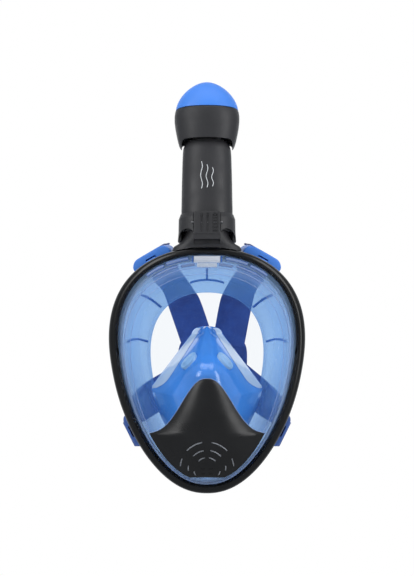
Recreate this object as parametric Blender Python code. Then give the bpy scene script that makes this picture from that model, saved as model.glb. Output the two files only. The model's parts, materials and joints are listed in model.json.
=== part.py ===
"""Full-face snorkel mask with a dry-top snorkel and a four-point head harness.

Metres, +Z up. The mask looks along -Y, and its face seal's centre is the origin.
Mask pieces are drawn on the rim's egg outline; snorkel pieces on their own leaning axis.
"""

import math

import bmesh
import bpy
from mathutils import Matrix, Vector

MM = 0.001

# Rim outline: an egg, wider above its middle
RIM_HALF_WIDTH = 0.0913
RIM_HALF_HEIGHT = 0.1165
EGG_TAPER = 0.23
EGG_POWER = 2.18
RIM_STEPS = 48
RIM_Y = -0.045
FACE_WRAP = 2.04
SEAL_WRAP = 5.0

# Snorkel: an oval tube that leans back from the top of the rim
LEAN = math.radians(7)
SNORKEL_FOOT = Vector((0, RIM_Y + 0.0035, 0.1164))
OVAL_STEPS = 28
OVAL_POWER = 2.25
DEPTH_RATIO = 0.86
DIVIDER_X = 0.0088
DIVIDER_WALL = 0.0012
FLOAT_PORTS = 10
FLOAT_PORT_RADIUS = 0.0033

# Casing of the dry-top head: (half width, height) up the axis, in millimetres
CASING = (
    (25.2, 95.6),
    (26.6, 98.0),
    (28.0, 103.0),
    (29.3, 109.0),
    (30.4, 115.0),
    (31.2, 122.0),
    (31.2, 127.0),
    (30.4, 132.2),
)
CASING_WALL = 1.7
CASING_WINDOW_HALF = 0.0243
CASING_WINDOW_TOP = 0.1022

# Release latch on the collar, on the snorkel's axis. Its tooth clears the neck's gasket.
LATCH_HALF = 0.0126
LATCH_FRONT = -0.0252
LATCH_BACK = -0.0221
LATCH_LOW = 0.0046
LATCH_HIGH = 0.0312
TOOTH_TIP = -0.0193
GROOVES = ((-0.005, 0.0011), (0.0006, 0.0011), (0.0076, 0.0024))
GROOVE_DEPTH = 0.0009
GROOVE_LOW = 0.0115
GROOVE_HIGH = 0.0282
LATCH_PIN = Vector((0, -0.0234, 0.0205))
LATCH_PIN_RADIUS = 0.0008
CATCH_HALF = 0.0124

# The two arches in the collar's front edge
ARCH_HALF = 0.0085
ARCH_STRETCH = 1.25

# Front panel of the lens, and the chin cover on it
PANEL_INSET = 0.024
PANEL_DROP = -0.003
PANEL_EDGE = 0.049
PANEL_RISE = 0.0055
LENS_WALL = 0.0022
COVER_TOP = -0.0044
BELL_HEIGHT = 0.0521
BELL_SPREAD = 0.0294
BELL_POWER = 2.3
COVER_WALL = 0.0022
COVER_BULGE = 0.0075
GRILLE_CENTRE_Z = -0.0868
GRILLE_RADII = (0.0095, 0.0162, 0.024)
GRILLE_ARCS = ((42, 80), (100, 138), (8, 24), (156, 172))
GRILLE_SLOT = 0.0013

# Air port from the snorkel's neck through the top of the frame and lens
PORT_LOW = (-0.013, RIM_Y - 0.0065, 0.095)
PORT_HIGH = (0.013, RIM_Y - 0.0002, 0.13)

# Drain valve in the chin of the lens
DRAIN_Z = -0.078
DRAIN_BORE = 0.0095
DRAIN_HOLE = DRAIN_BORE + 0.0027

# Nose pocket, and the two inhale valves in it
POCKET_TOP = 0.041
POCKET_BOTTOM = -0.086
POCKET_WALL = 0.002
INHALE_X = 0.0165
INHALE_Z = 0.009
INHALE_WIDTH = 0.0052
INHALE_HEIGHT = 0.0075
INHALE_STRETCH = INHALE_HEIGHT / INHALE_WIDTH

# Strap clips, each on a pin across a lug of the rear frame
UPPER_ANGLE = math.radians(62)
LOWER_ANGLE = math.radians(-28)
PIN_RADIUS = 0.0012
PIN_OUT = -0.0012
PIN_BACK = 0.0135
SLOT_BACK = 0.031
CLIP_INNER = -0.0036
CLIP_FRONT = 0.0102
CLIP_BACK = 0.037

# Straps, and the patch behind the head that they are sewn to
STRAP_CLIP_WIDTH = 0.026
STRAP_REAR_WIDTH = 0.034
STRAP_THICKNESS = 0.002
REAR_CENTRE = Vector((0.006, 0.124, 0.004))
REAR_HALF_WIDTH = 0.0365
REAR_HALF_HEIGHT = 0.025
REAR_CURVE = 6.0

# Between pieces that fit together, and how far a cutter reaches past a wall
GAP = 0.0003
CUT_PAST = 0.03


# ---- materials -------------------------------------------------------------------------

def plastic(name, colour, roughness, alpha=1.0, metallic=0.0):
    material = bpy.data.materials.get(name)
    if material:
        return material
    material = bpy.data.materials.new(name)
    material.use_nodes = True
    shader = material.node_tree.nodes["Principled BSDF"]
    shader.inputs["Base Color"].default_value = (*colour, 1)
    shader.inputs["Roughness"].default_value = roughness
    shader.inputs["Metallic"].default_value = metallic
    shader.inputs["Alpha"].default_value = alpha
    material.diffuse_color = (*colour, alpha)
    return material


FINISHES = {
    "gloss_black": ((0.012, 0.012, 0.014), 0.15, 1.0, 0.0),
    "satin_black": ((0.035, 0.035, 0.038), 0.45, 1.0, 0.0),
    "azure_plastic": ((0.06, 0.27, 0.78), 0.35, 1.0, 0.0),
    "royal_plastic": ((0.04, 0.1, 0.4), 0.4, 1.0, 0.0),
    "azure_silicone": ((0.06, 0.3, 0.75), 0.2, 1.0, 0.0),
    "clear_lens": ((0.8, 0.88, 0.95), 0.03, 0.3, 0.0),
    "blue_skirt": ((0.2, 0.48, 0.85), 0.25, 0.75, 0.0),
    "valve_silicone": ((0.75, 0.82, 0.9), 0.35, 0.8, 0.0),
    "strap_blue": ((0.02, 0.05, 0.3), 0.8, 1.0, 0.0),
    "steel_pin": ((0.6, 0.6, 0.62), 0.3, 1.0, 1.0),
    "float_white": ((0.8, 0.8, 0.78), 0.5, 1.0, 0.0),
}


# ---- mesh helpers ----------------------------------------------------------------------

def object_from(mesh_builder, name, finish, parent=None):
    mesh_builder.normal_update()
    bmesh.ops.recalc_face_normals(mesh_builder, faces=mesh_builder.faces)
    mesh = bpy.data.meshes.new(name)
    mesh_builder.to_mesh(mesh)
    mesh_builder.free()
    mesh.shade_smooth()
    mesh.set_sharp_from_angle(angle=math.radians(35))
    obj = bpy.data.objects.new(name, mesh)
    bpy.context.collection.objects.link(obj)
    obj.parent = parent
    if finish:
        mesh.materials.append(plastic(finish, *FINISHES[finish]))
    return obj


def ring_mesh(rings, closed):
    """Joins equal rings of points. Closed joins the last ring to the first; open ends are capped."""
    builder = bmesh.new()
    rows = [[builder.verts.new(point) for point in ring] for ring in rings]
    count = len(rows[0])
    pairs = list(zip(rows, rows[1:]))
    if closed:
        pairs.append((rows[-1], rows[0]))
    else:
        builder.faces.new(rows[0])
        builder.faces.new(list(reversed(rows[-1])))
    for low, high in pairs:
        for i in range(count):
            j = (i + 1) % count
            builder.faces.new((low[i], low[j], high[j], high[i]))
    return builder


def grid_mesh(rows):
    builder = bmesh.new()
    made = [[builder.verts.new(point) for point in row] for row in rows]
    for low, high in zip(made, made[1:]):
        for i in range(len(low) - 1):
            builder.faces.new((low[i], low[i + 1], high[i + 1], high[i]))
    return builder


def sheet(name, rows, thickness, finish, offset=-1.0):
    obj = object_from(grid_mesh(rows), name, finish)
    solid = obj.modifiers.new("thickness", "SOLIDIFY")
    solid.thickness = thickness
    solid.offset = offset
    solid.use_even_offset = True
    return obj


def cut(obj, cutter, operation="DIFFERENCE"):
    cutter.hide_render = True
    cutter.display_type = "WIRE"
    modifier = obj.modifiers.new(operation.lower(), "BOOLEAN")
    modifier.object = cutter
    modifier.operation = operation
    modifier.solver = "EXACT"


def block(name, low, high, finish=None, parent=None, place=None):
    builder = bmesh.new()
    bmesh.ops.create_cube(builder, size=1)
    size = Vector(high) - Vector(low)
    middle = (Vector(high) + Vector(low)) / 2
    for vert in builder.verts:
        vert.co = Vector(a * b for a, b in zip(vert.co, size)) + middle
    if place:
        bmesh.ops.transform(builder, matrix=place, verts=builder.verts)
    return object_from(builder, name, finish, parent)


def rod(name, radius, length, place, finish=None, parent=None, stretch=1.0, sides=16):
    """A round or oval rod along the local Z of place, centred on it."""
    rings = []
    for z in (-length / 2, length / 2):
        angles = [2 * math.pi * i / sides for i in range(sides)]
        ring = [Vector((radius * math.cos(a), radius * stretch * math.sin(a), z)) for a in angles]
        rings.append([place @ point for point in ring])
    return object_from(ring_mesh(rings, closed=False), name, finish, parent)


def rounded(obj, width, segments=2):
    bevel = obj.modifiers.new("rounding", "BEVEL")
    bevel.width = width
    bevel.segments = segments
    bevel.limit_method = "ANGLE"
    bevel.angle_limit = math.radians(35)


# ---- the rim's egg ---------------------------------------------------------------------

def signed_power(value, power):
    return math.copysign(abs(value) ** power, value)


def egg_point(angle, inset, drop=0.0, scale=1.0):
    """(x, z) on the rim's egg, moved in by inset and down by drop; angle 90 degrees is the top."""
    height = signed_power(math.sin(angle), 2 / EGG_POWER)
    across = signed_power(math.cos(angle), 2 / EGG_POWER) * (1 + EGG_TAPER * height)
    x = (RIM_HALF_WIDTH - inset) * scale * across
    z = (RIM_HALF_HEIGHT - inset) * scale * height + drop
    return x, z


def egg_half_width(z, inset, drop=0.0):
    height = (z - drop) / (RIM_HALF_HEIGHT - inset)
    reach = max(0.0, 1 - abs(height) ** EGG_POWER) ** (1 / EGG_POWER)
    return (RIM_HALF_WIDTH - inset) * reach * (1 + EGG_TAPER * height)


def egg_ring(inset, forward, drop=0.0, scale=1.0, wrap=FACE_WRAP, steps=RIM_STEPS):
    """A ring at this inset, this far in front of the rim plane, bent back towards the sides."""
    ring = []
    for i in range(steps):
        x, z = egg_point(2 * math.pi * i / steps, inset, drop, scale)
        ring.append(Vector((x, RIM_Y + wrap * x * x - forward, z)))
    return ring


def egg_loop(name, profile, finish):
    """A closed band round the rim, from (inset, forward[, drop[, wrap]]), the lengths in millimetres."""
    rings = []
    for inset, forward, *rest in profile:
        drop = rest[0] if rest else 0.0
        wrap = rest[1] if len(rest) > 1 else FACE_WRAP
        rings.append(egg_ring(inset * MM, forward * MM, drop * MM, wrap=wrap))
    return object_from(ring_mesh(rings, closed=True), name, finish)


def rim_point(angle):
    x, z = egg_point(angle, 0)
    return Vector((x, RIM_Y + FACE_WRAP * x * x, z))


def rim_frame(angle):
    """Axes at a place on the rim: X along the rim, Y away from it, Z towards the head."""
    here, ahead = (rim_point(angle + step) for step in (0, 0.01))
    along = (ahead - here).normalized()
    back = Vector((0, 1, 0))
    back = (back - along * along.y).normalized()
    out = along.cross(back).normalized()
    if out.dot(Vector((here.x, 0, here.z))) < 0:
        out = -out
        along = -along
    matrix = Matrix((along, out, back)).transposed().to_4x4()
    matrix.translation = here
    return matrix


# ---- frame, lens and skirt -------------------------------------------------------------

def make_front_frame():
    profile = (
        (4.0, -1.7),
        (0.8, -1.7),
        (0.0, 0.5),
        (0.0, 5.0),
        (1.6, 8.2),
        (4.6, 9.4),
        (7.6, 8.2, 1.2),
        (9.0, 5.5, 2.0),
        (9.0, -1.7, 2.0),
    )
    frame = egg_loop("front_frame", profile, "gloss_black")
    cut(frame, intake_port("intake_cut_frame"))
    return frame


def intake_port(name):
    """The air port from the snorkel's neck through the top of the frame and lens."""
    return block(name, PORT_LOW, PORT_HIGH)


def make_rear_frame():
    profile = (
        (10.0, -7.5),
        (10.0, -14.0),
        (8.4, -16.0),
        (6.0, -16.0),
        (4.5, -14.5),
        (4.5, -9.0),
        (0.6, -6.5),
        (0.6, -2.1),
        (3.0, -2.1),
        (3.4, -7.5),
    )
    frame = egg_loop("rear_frame", profile, "satin_black")
    for place in clip_places().values():
        lug = block("lug", (-0.005, -0.007, 0.0085), (0.005, 0.0013, 0.0185), place=place)
        bore = rod("lug_bore", PIN_RADIUS + GAP, 0.02, pin_place(place))
        cut(frame, lug, "UNION")
        cut(frame, bore)
    return frame


def panel_forward(spread):
    """How far the lens's front panel stands forward, from its centre (0) to its edge (1)."""
    return PANEL_EDGE + PANEL_RISE * (1 - spread * spread)


def panel_y(x, z):
    """The outer face of the front panel."""
    height = (z - PANEL_DROP) / (RIM_HALF_HEIGHT - PANEL_INSET)
    side = x / ((RIM_HALF_WIDTH - PANEL_INSET) * (1 + EGG_TAPER * max(-1.0, min(1.0, height))))
    spread = min(1.0, (abs(side) ** EGG_POWER + abs(height) ** EGG_POWER) ** (1 / EGG_POWER))
    return RIM_Y + FACE_WRAP * x * x - panel_forward(spread)


def make_lens():
    """Clamped flange, side wall and gently domed front panel, from (inset, forward, drop) in millimetres."""
    outside = (
        (3.7, -2.0, 0),
        (11.4, -2.0, 0),
        (11.6, 8.0, 0),
        (14.5, 32.0, -2),
        (17.0, 42.0, -3),
        (20.0, 47.0, -3),
    )
    inside = (
        (3.7, -4.4, 0),
        (13.4, -4.4, 0),
        (13.8, 8.0, 0),
        (16.7, 31.0, -2),
        (19.4, 40.4, -3),
        (21.6, 44.6, -3),
    )
    panel_scales = (1.0, 0.72, 0.42, 0.12)
    rings = [
        egg_ring(PANEL_INSET, panel_forward(scale) - LENS_WALL, PANEL_DROP, scale)
        for scale in reversed(panel_scales)
    ]
    rings += [egg_ring(inset * MM, forward * MM, drop * MM) for inset, forward, drop in reversed(inside)]
    rings += [egg_ring(inset * MM, forward * MM, drop * MM) for inset, forward, drop in outside]
    rings += [egg_ring(PANEL_INSET, panel_forward(scale), PANEL_DROP, scale) for scale in panel_scales]
    lens = object_from(ring_mesh(rings, closed=False), "lens", "clear_lens")
    cut(lens, intake_port("intake_cut_lens"))
    cut(lens, rod("drain_cut", DRAIN_HOLE, CUT_PAST, drain_place(), sides=24))
    return lens


def make_lens_seal():
    profile = ((4.0, -4.75), (12.6, -4.75), (12.6, -5.65), (4.0, -5.65))
    return egg_loop("lens_seal", profile, "valve_silicone")


def make_skirt():
    """Clamped flange, side wall, then a lip that turns in against the face."""
    outer = (
        (4.0, -6.0),
        (4.0, -7.1),
        (12.0, -7.1),
        (13.0, -14.0),
        (18.0, -26.0, 0, 3.2),
        (27.0, -35.0, -1, 4.4),
        (36.0, -38.5, -3, SEAL_WRAP),
        (42.0, -37.5, -4, SEAL_WRAP),
    )
    inner = (
        (42.0, -35.9, -4, SEAL_WRAP),
        (36.5, -36.3, -3, SEAL_WRAP),
        (28.2, -33.0, -1, 4.4),
        (20.0, -24.6, 0, 3.2),
        (15.4, -13.0),
        (14.6, -6.0),
    )
    return egg_loop("face_skirt", outer + inner, "blue_skirt")


# ---- drain valve and chin cover --------------------------------------------------------

def drain_place():
    """On the lens's outer face at the chin: local Z points forward out of the mask."""
    step = 0.002
    rise = (panel_y(0, DRAIN_Z + step) - panel_y(0, DRAIN_Z - step)) / (2 * step)
    forward = Vector((0, -1, rise)).normalized()
    side = Vector((1, 0, 0))
    up = forward.cross(side)
    matrix = Matrix((side, up, forward)).transposed().to_4x4()
    matrix.translation = Vector((0, panel_y(0, DRAIN_Z), DRAIN_Z))
    return matrix


def turned(name, profile, place, finish, stretch=1.0, sides=24, parent=None):
    """A closed ring turned about the local Z of place, from (radius, z) points."""
    rings = []
    for radius, z in profile:
        ring = []
        for i in range(sides):
            angle = 2 * math.pi * i / sides
            point = Vector((radius * math.cos(angle), radius * stretch * math.sin(angle), z))
            ring.append(place @ point)
        rings.append(ring)
    return object_from(ring_mesh(rings, closed=True), name, finish, parent)


def make_spoked_seat(name, profile, spoke, place, stretch=1.0):
    """A valve seat: a ring with a cross of spokes over its bore."""
    seat = turned(name, profile, place, "satin_black", stretch)
    reach, low, high, half = spoke
    for turn, length in ((0, reach), (math.pi / 2, reach * stretch)):
        turned_place = place @ Matrix.Rotation(turn, 4, "Z")
        bar = block(name + "_spoke", (-length, -half, low), (length, half, high), place=turned_place)
        cut(seat, bar, "UNION")
    return seat


def make_drain_valve():
    place = drain_place()
    bore = DRAIN_BORE
    profile = (
        (bore, 0.0011),
        (bore, -0.0045),
        (bore + 0.0035, -0.0045),
        (bore + 0.0035, -0.0032),
        (bore + 0.002, -0.003),
        (bore + 0.002, 0.0011),
    )
    make_spoked_seat("drain_valve_seat", profile, (bore + 0.001, -0.004, -0.0022, 0.0008), place)
    flap_place = place @ Matrix.Translation((0, 0, 0.0019))
    rod("drain_flap", bore + 0.0022, 0.0009, flap_place, "valve_silicone", sides=24)


def bell_half_width(z):
    drop = max(0.0, COVER_TOP - z)
    share = min(drop / BELL_HEIGHT, 0.9999)
    return BELL_SPREAD * (-math.log(1 - share)) ** (1 / BELL_POWER)


def cover_half_width(z):
    return min(bell_half_width(z), egg_half_width(z, PANEL_INSET, PANEL_DROP))


def cover_y(x, z):
    """The cover's outer face: clear of the panel at its edge, and bulged in its middle."""
    half = cover_half_width(z)
    side = min(1.0, abs(x) / max(half, 1e-6))
    bottom = PANEL_DROP - (RIM_HALF_HEIGHT - PANEL_INSET)
    height = (z - bottom) / (COVER_TOP - bottom)
    crown = (1 - side ** 2.4) * math.sin(math.pi * min(1, max(0, height)) ** 0.8) ** 0.6
    return panel_y(x, z) - COVER_WALL - 2 * GAP - COVER_BULGE * crown


def make_chin_cover():
    bottom = PANEL_DROP - (RIM_HALF_HEIGHT - PANEL_INSET)
    tip = bell_meets_egg()
    lows = [bottom + (tip - bottom) * (1 - math.cos(math.pi / 2 * i / 6)) for i in range(7)]
    highs = [tip + (COVER_TOP - tip) * math.sin(math.pi / 2 * i / 8) for i in range(1, 9)]
    levels = lows + highs
    levels[0] += 0.0004
    levels[-1] -= 0.0003
    columns = 12
    rows = []
    for z in levels:
        half = cover_half_width(z)
        xs = [half * math.sin(math.pi / 2 * (2 * i / columns - 1)) for i in range(columns + 1)]
        rows.append([Vector((x, cover_y(x, z), z)) for x in xs])
    cover = sheet("chin_cover", rows, COVER_WALL, "satin_black", offset=inward(rows))
    for cutter in grille_cutters():
        cut(cover, cutter)
    return cover


def inward(rows):
    """Solidify's offset that puts the thickness behind the drawn face, towards +Y."""
    builder = grid_mesh(rows)
    builder.normal_update()
    bmesh.ops.recalc_face_normals(builder, faces=builder.faces)
    facing = sum(face.normal.y for face in builder.faces)
    builder.free()
    return -1.0 if facing < 0 else 1.0


def bell_meets_egg():
    """The height of the cover's two side tips."""
    low, high = COVER_TOP - BELL_HEIGHT * 0.9999, COVER_TOP
    for _ in range(40):
        middle = (low + high) / 2
        if bell_half_width(middle) > egg_half_width(middle, PANEL_INSET, PANEL_DROP):
            low = middle
        else:
            high = middle
    return (low + high) / 2


def arc_slot(name, radius, start, end, width):
    """A curved slot cutter through the cover, about the grille's centre."""
    steps = 5
    rows = []
    for side in (-1, 1):
        row = []
        for i in range(steps):
            angle = math.radians(start + (end - start) * i / (steps - 1))
            reach = radius + side * width / 2
            row.append((reach * math.cos(angle), GRILLE_CENTRE_Z + reach * math.sin(angle)))
        rows.append(row)
    outline = rows[0] + list(reversed(rows[1]))
    middle = panel_y(0, GRILLE_CENTRE_Z)
    rings = [[Vector((x, middle + y, z)) for x, z in outline] for y in (-CUT_PAST, CUT_PAST)]
    return object_from(ring_mesh(rings, closed=False), name, None)


def grille_cutters():
    for i, radius in enumerate(GRILLE_RADII):
        for start, end in GRILLE_ARCS:
            yield arc_slot(f"slot_{i}_{start}", radius, start, end, GRILLE_SLOT)


# ---- nose pocket and inhale valves -----------------------------------------------------

def smooth_between(value, low, high):
    share = min(1.0, max(0.0, (value - low) / (high - low)))
    return share * share * (3 - 2 * share)


def pocket_lip(z):
    """Half-width to the edge of the pocket's lip."""
    rise = 0.009 + 0.75 * (POCKET_TOP - z)
    return min(rise, 0.0475 - 0.02 * smooth_between(z, -0.045, POCKET_BOTTOM))


def pocket_nose(z):
    """Half-width of the bulge over the nose and mouth."""
    fall = max(0.0, 0.0345 - z)
    return min(0.0055 + 0.046 * (fall / 0.06) ** 0.72, pocket_lip(z) - 0.0035)


def pocket_ridge(z):
    """How far the middle of the bulge stands in front of the lip."""
    nose = 0.052 * smooth_between(z, 0.045, -0.004)
    chin = 0.012 * smooth_between(z, -0.045, POCKET_BOTTOM)
    return 0.006 + nose - chin


def pocket_y(x, z):
    edge = -0.0225 + 0.0055 * smooth_between(abs(x), 0.005, 0.045)
    side = abs(x) / pocket_nose(z)
    lip = pocket_lip(z)
    if side <= 1:
        share = 0.8 * side ** 2.3
    else:
        share = 0.8 + 0.2 * (abs(x) - pocket_nose(z)) / (lip - pocket_nose(z))
    return edge - pocket_ridge(z) * (1 - share)


def make_nose_pocket():
    levels, columns = 13, 14
    rows = []
    for j in range(levels + 1):
        z = POCKET_TOP + (POCKET_BOTTOM - POCKET_TOP) * j / levels
        half = pocket_lip(z)
        xs = [half * math.sin(math.pi / 2 * (2 * i / columns - 1)) for i in range(columns + 1)]
        rows.append([Vector((x, pocket_y(x, z), z)) for x in xs])
    pocket = sheet("nose_pocket", rows, POCKET_WALL, "azure_silicone", offset=inward(rows))
    for side in (-1, 1):
        place = inhale_place(side)
        cut(pocket, rod("inhale_hole", INHALE_WIDTH + 2 * GAP, CUT_PAST, place, stretch=INHALE_STRETCH))
    return pocket


def inhale_place(side):
    """On the pocket's outer face: local Z points out of it, local Y up the slope."""
    x, z, step = side * INHALE_X, INHALE_Z, 0.002
    slope_x = (pocket_y(x + step, z) - pocket_y(x - step, z)) / (2 * step)
    slope_z = (pocket_y(x, z + step) - pocket_y(x, z - step)) / (2 * step)
    out = Vector((slope_x, -1, slope_z)).normalized()
    lean = Vector((-side * 0.35, 0, 1))
    up = (lean - out * lean.dot(out)).normalized()
    across = up.cross(out)
    matrix = Matrix((across, up, out)).transposed().to_4x4()
    matrix.translation = Vector((x, pocket_y(x, z), z))
    return matrix


def make_inhale_valves():
    for side, word in ((-1, "right"), (1, "left")):
        place = inhale_place(side)
        profile = (
            (INHALE_WIDTH - 0.001, 0.0024),
            (INHALE_WIDTH - 0.001, -0.0034),
            (INHALE_WIDTH, -0.0034),
            (INHALE_WIDTH, 0.0014),
            (INHALE_WIDTH + 0.0016, 0.0014),
            (INHALE_WIDTH + 0.0013, 0.0024),
        )
        spoke = (INHALE_WIDTH - 0.0006, -0.0012, 0.0002, 0.0005)
        make_spoked_seat(f"inhale_seat_{word}", profile, spoke, place, INHALE_STRETCH)
        flap_place = place @ Matrix.Translation((0, 0, -0.0042))
        rod(
            f"inhale_flap_{word}", INHALE_WIDTH + 0.0004, 0.0008, flap_place,
            "valve_silicone", stretch=INHALE_STRETCH, sides=20,
        )

# ---- snorkel ---------------------------------------------------------------------------

def oval_ring(half_width, z, half_depth=None, steps=OVAL_STEPS):
    half_depth = half_width * DEPTH_RATIO if half_depth is None else half_depth
    ring = []
    for i in range(steps):
        angle = 2 * math.pi * i / steps
        x = half_width * signed_power(math.cos(angle), 2 / OVAL_POWER)
        y = half_depth * signed_power(math.sin(angle), 2 / OVAL_POWER)
        ring.append(Vector((x, y, z)))
    return ring


def oval_loop(name, profile, finish, parent):
    """A closed band round the snorkel's axis, from (half width, height[, half depth]) in millimetres."""
    rings = []
    for half_width, z, *depth in profile:
        half_depth = depth[0] * MM if depth else None
        rings.append(oval_ring(half_width * MM, z * MM, half_depth))
    return object_from(ring_mesh(rings, closed=True), name, finish, parent)


def make_socket(axis):
    """The neck on the rim that the snorkel plugs on to. It follows the rim under it."""
    profile = (
        (34.0, -6.0, 12.0),
        (32.0, 0.5, 13.0),
        (27.0, 3.2, 14.8),
        (23.9, 6.2, 16.4),
        (21.6, 10.0, 17.6),
        (20.9, 13.0),
        (20.9, 25.0),
        (20.0, 26.0),
        (18.6, 26.0),
        (18.6, 8.0, 11.0),
        (18.6, -6.0, 9.5),
    )
    socket = oval_loop("snorkel_socket", profile, "satin_black", axis)
    rings = [egg_ring(-GAP, forward, wrap=FACE_WRAP, steps=2 * RIM_STEPS) for forward in (0.02, -0.035)]
    cut(socket, object_from(ring_mesh(rings, closed=False), "rim_seat_cut", None))
    low = (-CATCH_HALF, -CUT_PAST, 0.0018)
    high = (CATCH_HALF, -0.0126, 0.0062)
    cut(socket, block("catch_recess", low, high, parent=axis))
    return socket


def make_gasket(axis):
    profile = ((21.2, 17.0), (21.2, 19.6), (22.1, 19.2), (22.1, 17.4))
    return oval_loop("socket_gasket", profile, "valve_silicone", axis)


def make_tube(axis):
    profile = (
        (24.5, 14.0),
        (24.5, 34.0),
        (24.1, 60.0),
        (23.4, 88.0),
        (22.9, 95.0),
        (20.8, 100.4),
        (16.8, 103.6),
        (13.2, 104.6, 12.2),
        (13.0, 131.2, 12.0),
        (11.4, 131.2, 10.4),
        (11.4, 103.2, 10.4),
        (19.0, 98.4),
        (21.0, 92.6),
        (21.4, 87.0),
        (22.4, 34.0),
        (22.5, 14.0),
    )
    return oval_loop("snorkel_tube", profile, "satin_black", axis)


def make_dividers(axis):
    """Two walls inside the tube: fresh air between them, breathed air outside them."""
    for side, word in ((-1, "right"), (1, "left")):
        middle = side * DIVIDER_X
        low = (middle - DIVIDER_WALL / 2, -0.0165, 0.0275)
        high = (middle + DIVIDER_WALL / 2, 0.0165, 0.092)
        block(f"airway_divider_{word}", low, high, "satin_black", axis)


def latch_pin_place():
    return Matrix.Translation(LATCH_PIN) @ Matrix.Rotation(math.pi / 2, 4, "Y")


def make_collar(axis):
    profile = (
        (27.8, 5.4, 24.9),
        (27.2, 14.0, 24.6),
        (27.0, 26.6, 24.4),
        (25.3, 31.2, 22.1),
        (24.9, 31.2, 21.5),
        (24.9, 5.4, 21.5),
    )
    collar = oval_loop("snorkel_collar", profile, "satin_black", axis)
    window_half = LATCH_HALF + 0.0005
    low = (-window_half, LATCH_FRONT - 0.01, 0.0)
    high = (window_half, LATCH_FRONT + 0.01, LATCH_HIGH + 0.0006)
    cut(collar, block("latch_window", low, high, parent=axis))
    for side in (-1, 1):
        arch = Matrix.Translation((side * 0.0192, -0.02, 0.0049)) @ Matrix.Rotation(math.pi / 2, 4, "X")
        cut(collar, rod("arch_cut", ARCH_HALF, CUT_PAST, arch, parent=axis, stretch=ARCH_STRETCH, sides=20))
    bore = rod("collar_pin_cut", LATCH_PIN_RADIUS + GAP, 0.031, latch_pin_place(), parent=axis, sides=10)
    cut(collar, bore)
    return collar


def make_latch(axis):
    low = (-LATCH_HALF, LATCH_FRONT, LATCH_LOW)
    high = (LATCH_HALF, LATCH_BACK, LATCH_HIGH)
    latch = block("release_latch", low, high, "satin_black", axis)
    rounded(latch, 0.0006)
    tooth = block("tooth", (-0.006, LATCH_BACK - 0.0004, 0.0052), (0.006, TOOTH_TIP, 0.0072), parent=axis)
    cut(latch, tooth, "UNION")
    for x, half in GROOVES:
        low = (x - half, LATCH_FRONT - 0.005, GROOVE_LOW)
        high = (x + half, LATCH_FRONT + GROOVE_DEPTH, GROOVE_HIGH)
        cut(latch, block("groove", low, high, parent=axis))
    bore = rod("latch_bore", LATCH_PIN_RADIUS + GAP, CUT_PAST, latch_pin_place(), parent=axis, sides=10)
    cut(latch, bore)
    rod("latch_pin", LATCH_PIN_RADIUS, 0.0296, latch_pin_place(), "steel_pin", axis, sides=10)


def make_casing(axis):
    """The head's casing, open at its foot, with an arched opening in front and behind."""
    inner = [(half - CASING_WALL, z) for half, z in reversed(CASING)]
    inner[-1] = (CASING[0][0] - 1.3, CASING[0][1])
    casing = oval_loop("head_casing", list(CASING) + inner, "satin_black", axis)
    for side, word in ((-1, "front"), (1, "back")):
        low = (-CASING_WINDOW_HALF, min(0, side * 0.04), 0.09)
        high = (CASING_WINDOW_HALF, max(0, side * 0.04), CASING_WINDOW_TOP)
        opening = block(f"casing_{word}_cut", low, high, parent=axis)
        rounded(opening, 0.0035, 3)
        cut(casing, opening)
    return casing


def make_float_parts(axis):
    """A ring that floats up the stem and shuts the ports in the seat above it."""
    profile = ((14.6, 111.6, 13.6), (25.2, 112.4), (26.2, 114.0), (26.2, 120.6), (14.6, 120.6, 13.6))
    oval_loop("float_ring", profile, "float_white", axis)
    profile = ((14.8, 121.0, 13.8), (25.8, 121.0), (25.8, 122.3), (14.8, 122.3, 13.8))
    oval_loop("float_seal", profile, "valve_silicone", axis)
    profile = ((13.4, 129.2, 12.4), (28.6, 129.2), (28.6, 131.0), (13.4, 131.0, 12.4))
    seat = oval_loop("valve_seat", profile, "satin_black", axis)
    for i in range(FLOAT_PORTS):
        angle = 2 * math.pi * (i + 0.5) / FLOAT_PORTS
        centre = Vector((0.0205 * math.cos(angle), 0.0178 * math.sin(angle), 0.13))
        cut(seat, rod("port", FLOAT_PORT_RADIUS, 0.01, Matrix.Translation(centre), parent=axis, sides=10))


def make_cap(axis):
    """A closed dome, from its base ring up, inside and outside."""
    base, height, half = 132.7, 28.6, 30.0
    wall, power, steps = 1.8, 1.66, 7
    outside, inside = [], []
    for i in range(steps):
        angle = math.pi / 2 * i / (steps - 0.6)
        across = math.cos(angle) ** (2 / power)
        up = math.sin(angle) ** (2 / power)
        outside.append(oval_ring(half * across * MM, (base + height * up) * MM))
        inside.append(oval_ring((half - wall) * across * MM, (base + (height - wall) * up) * MM))
    rings = list(reversed(inside)) + outside
    return object_from(ring_mesh(rings, closed=False), "head_cap", "azure_plastic", axis)


# ---- harness ---------------------------------------------------------------------------

def clip_places():
    places = {}
    for level, angle in (("upper", UPPER_ANGLE), ("lower", LOWER_ANGLE)):
        places[f"{level}_left"] = rim_frame(angle)
        places[f"{level}_right"] = rim_frame(math.pi - angle)
    return places


def pin_place(place):
    return place @ Matrix.Translation((0, PIN_OUT, PIN_BACK)) @ Matrix.Rotation(math.pi / 2, 4, "Y")


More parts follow.
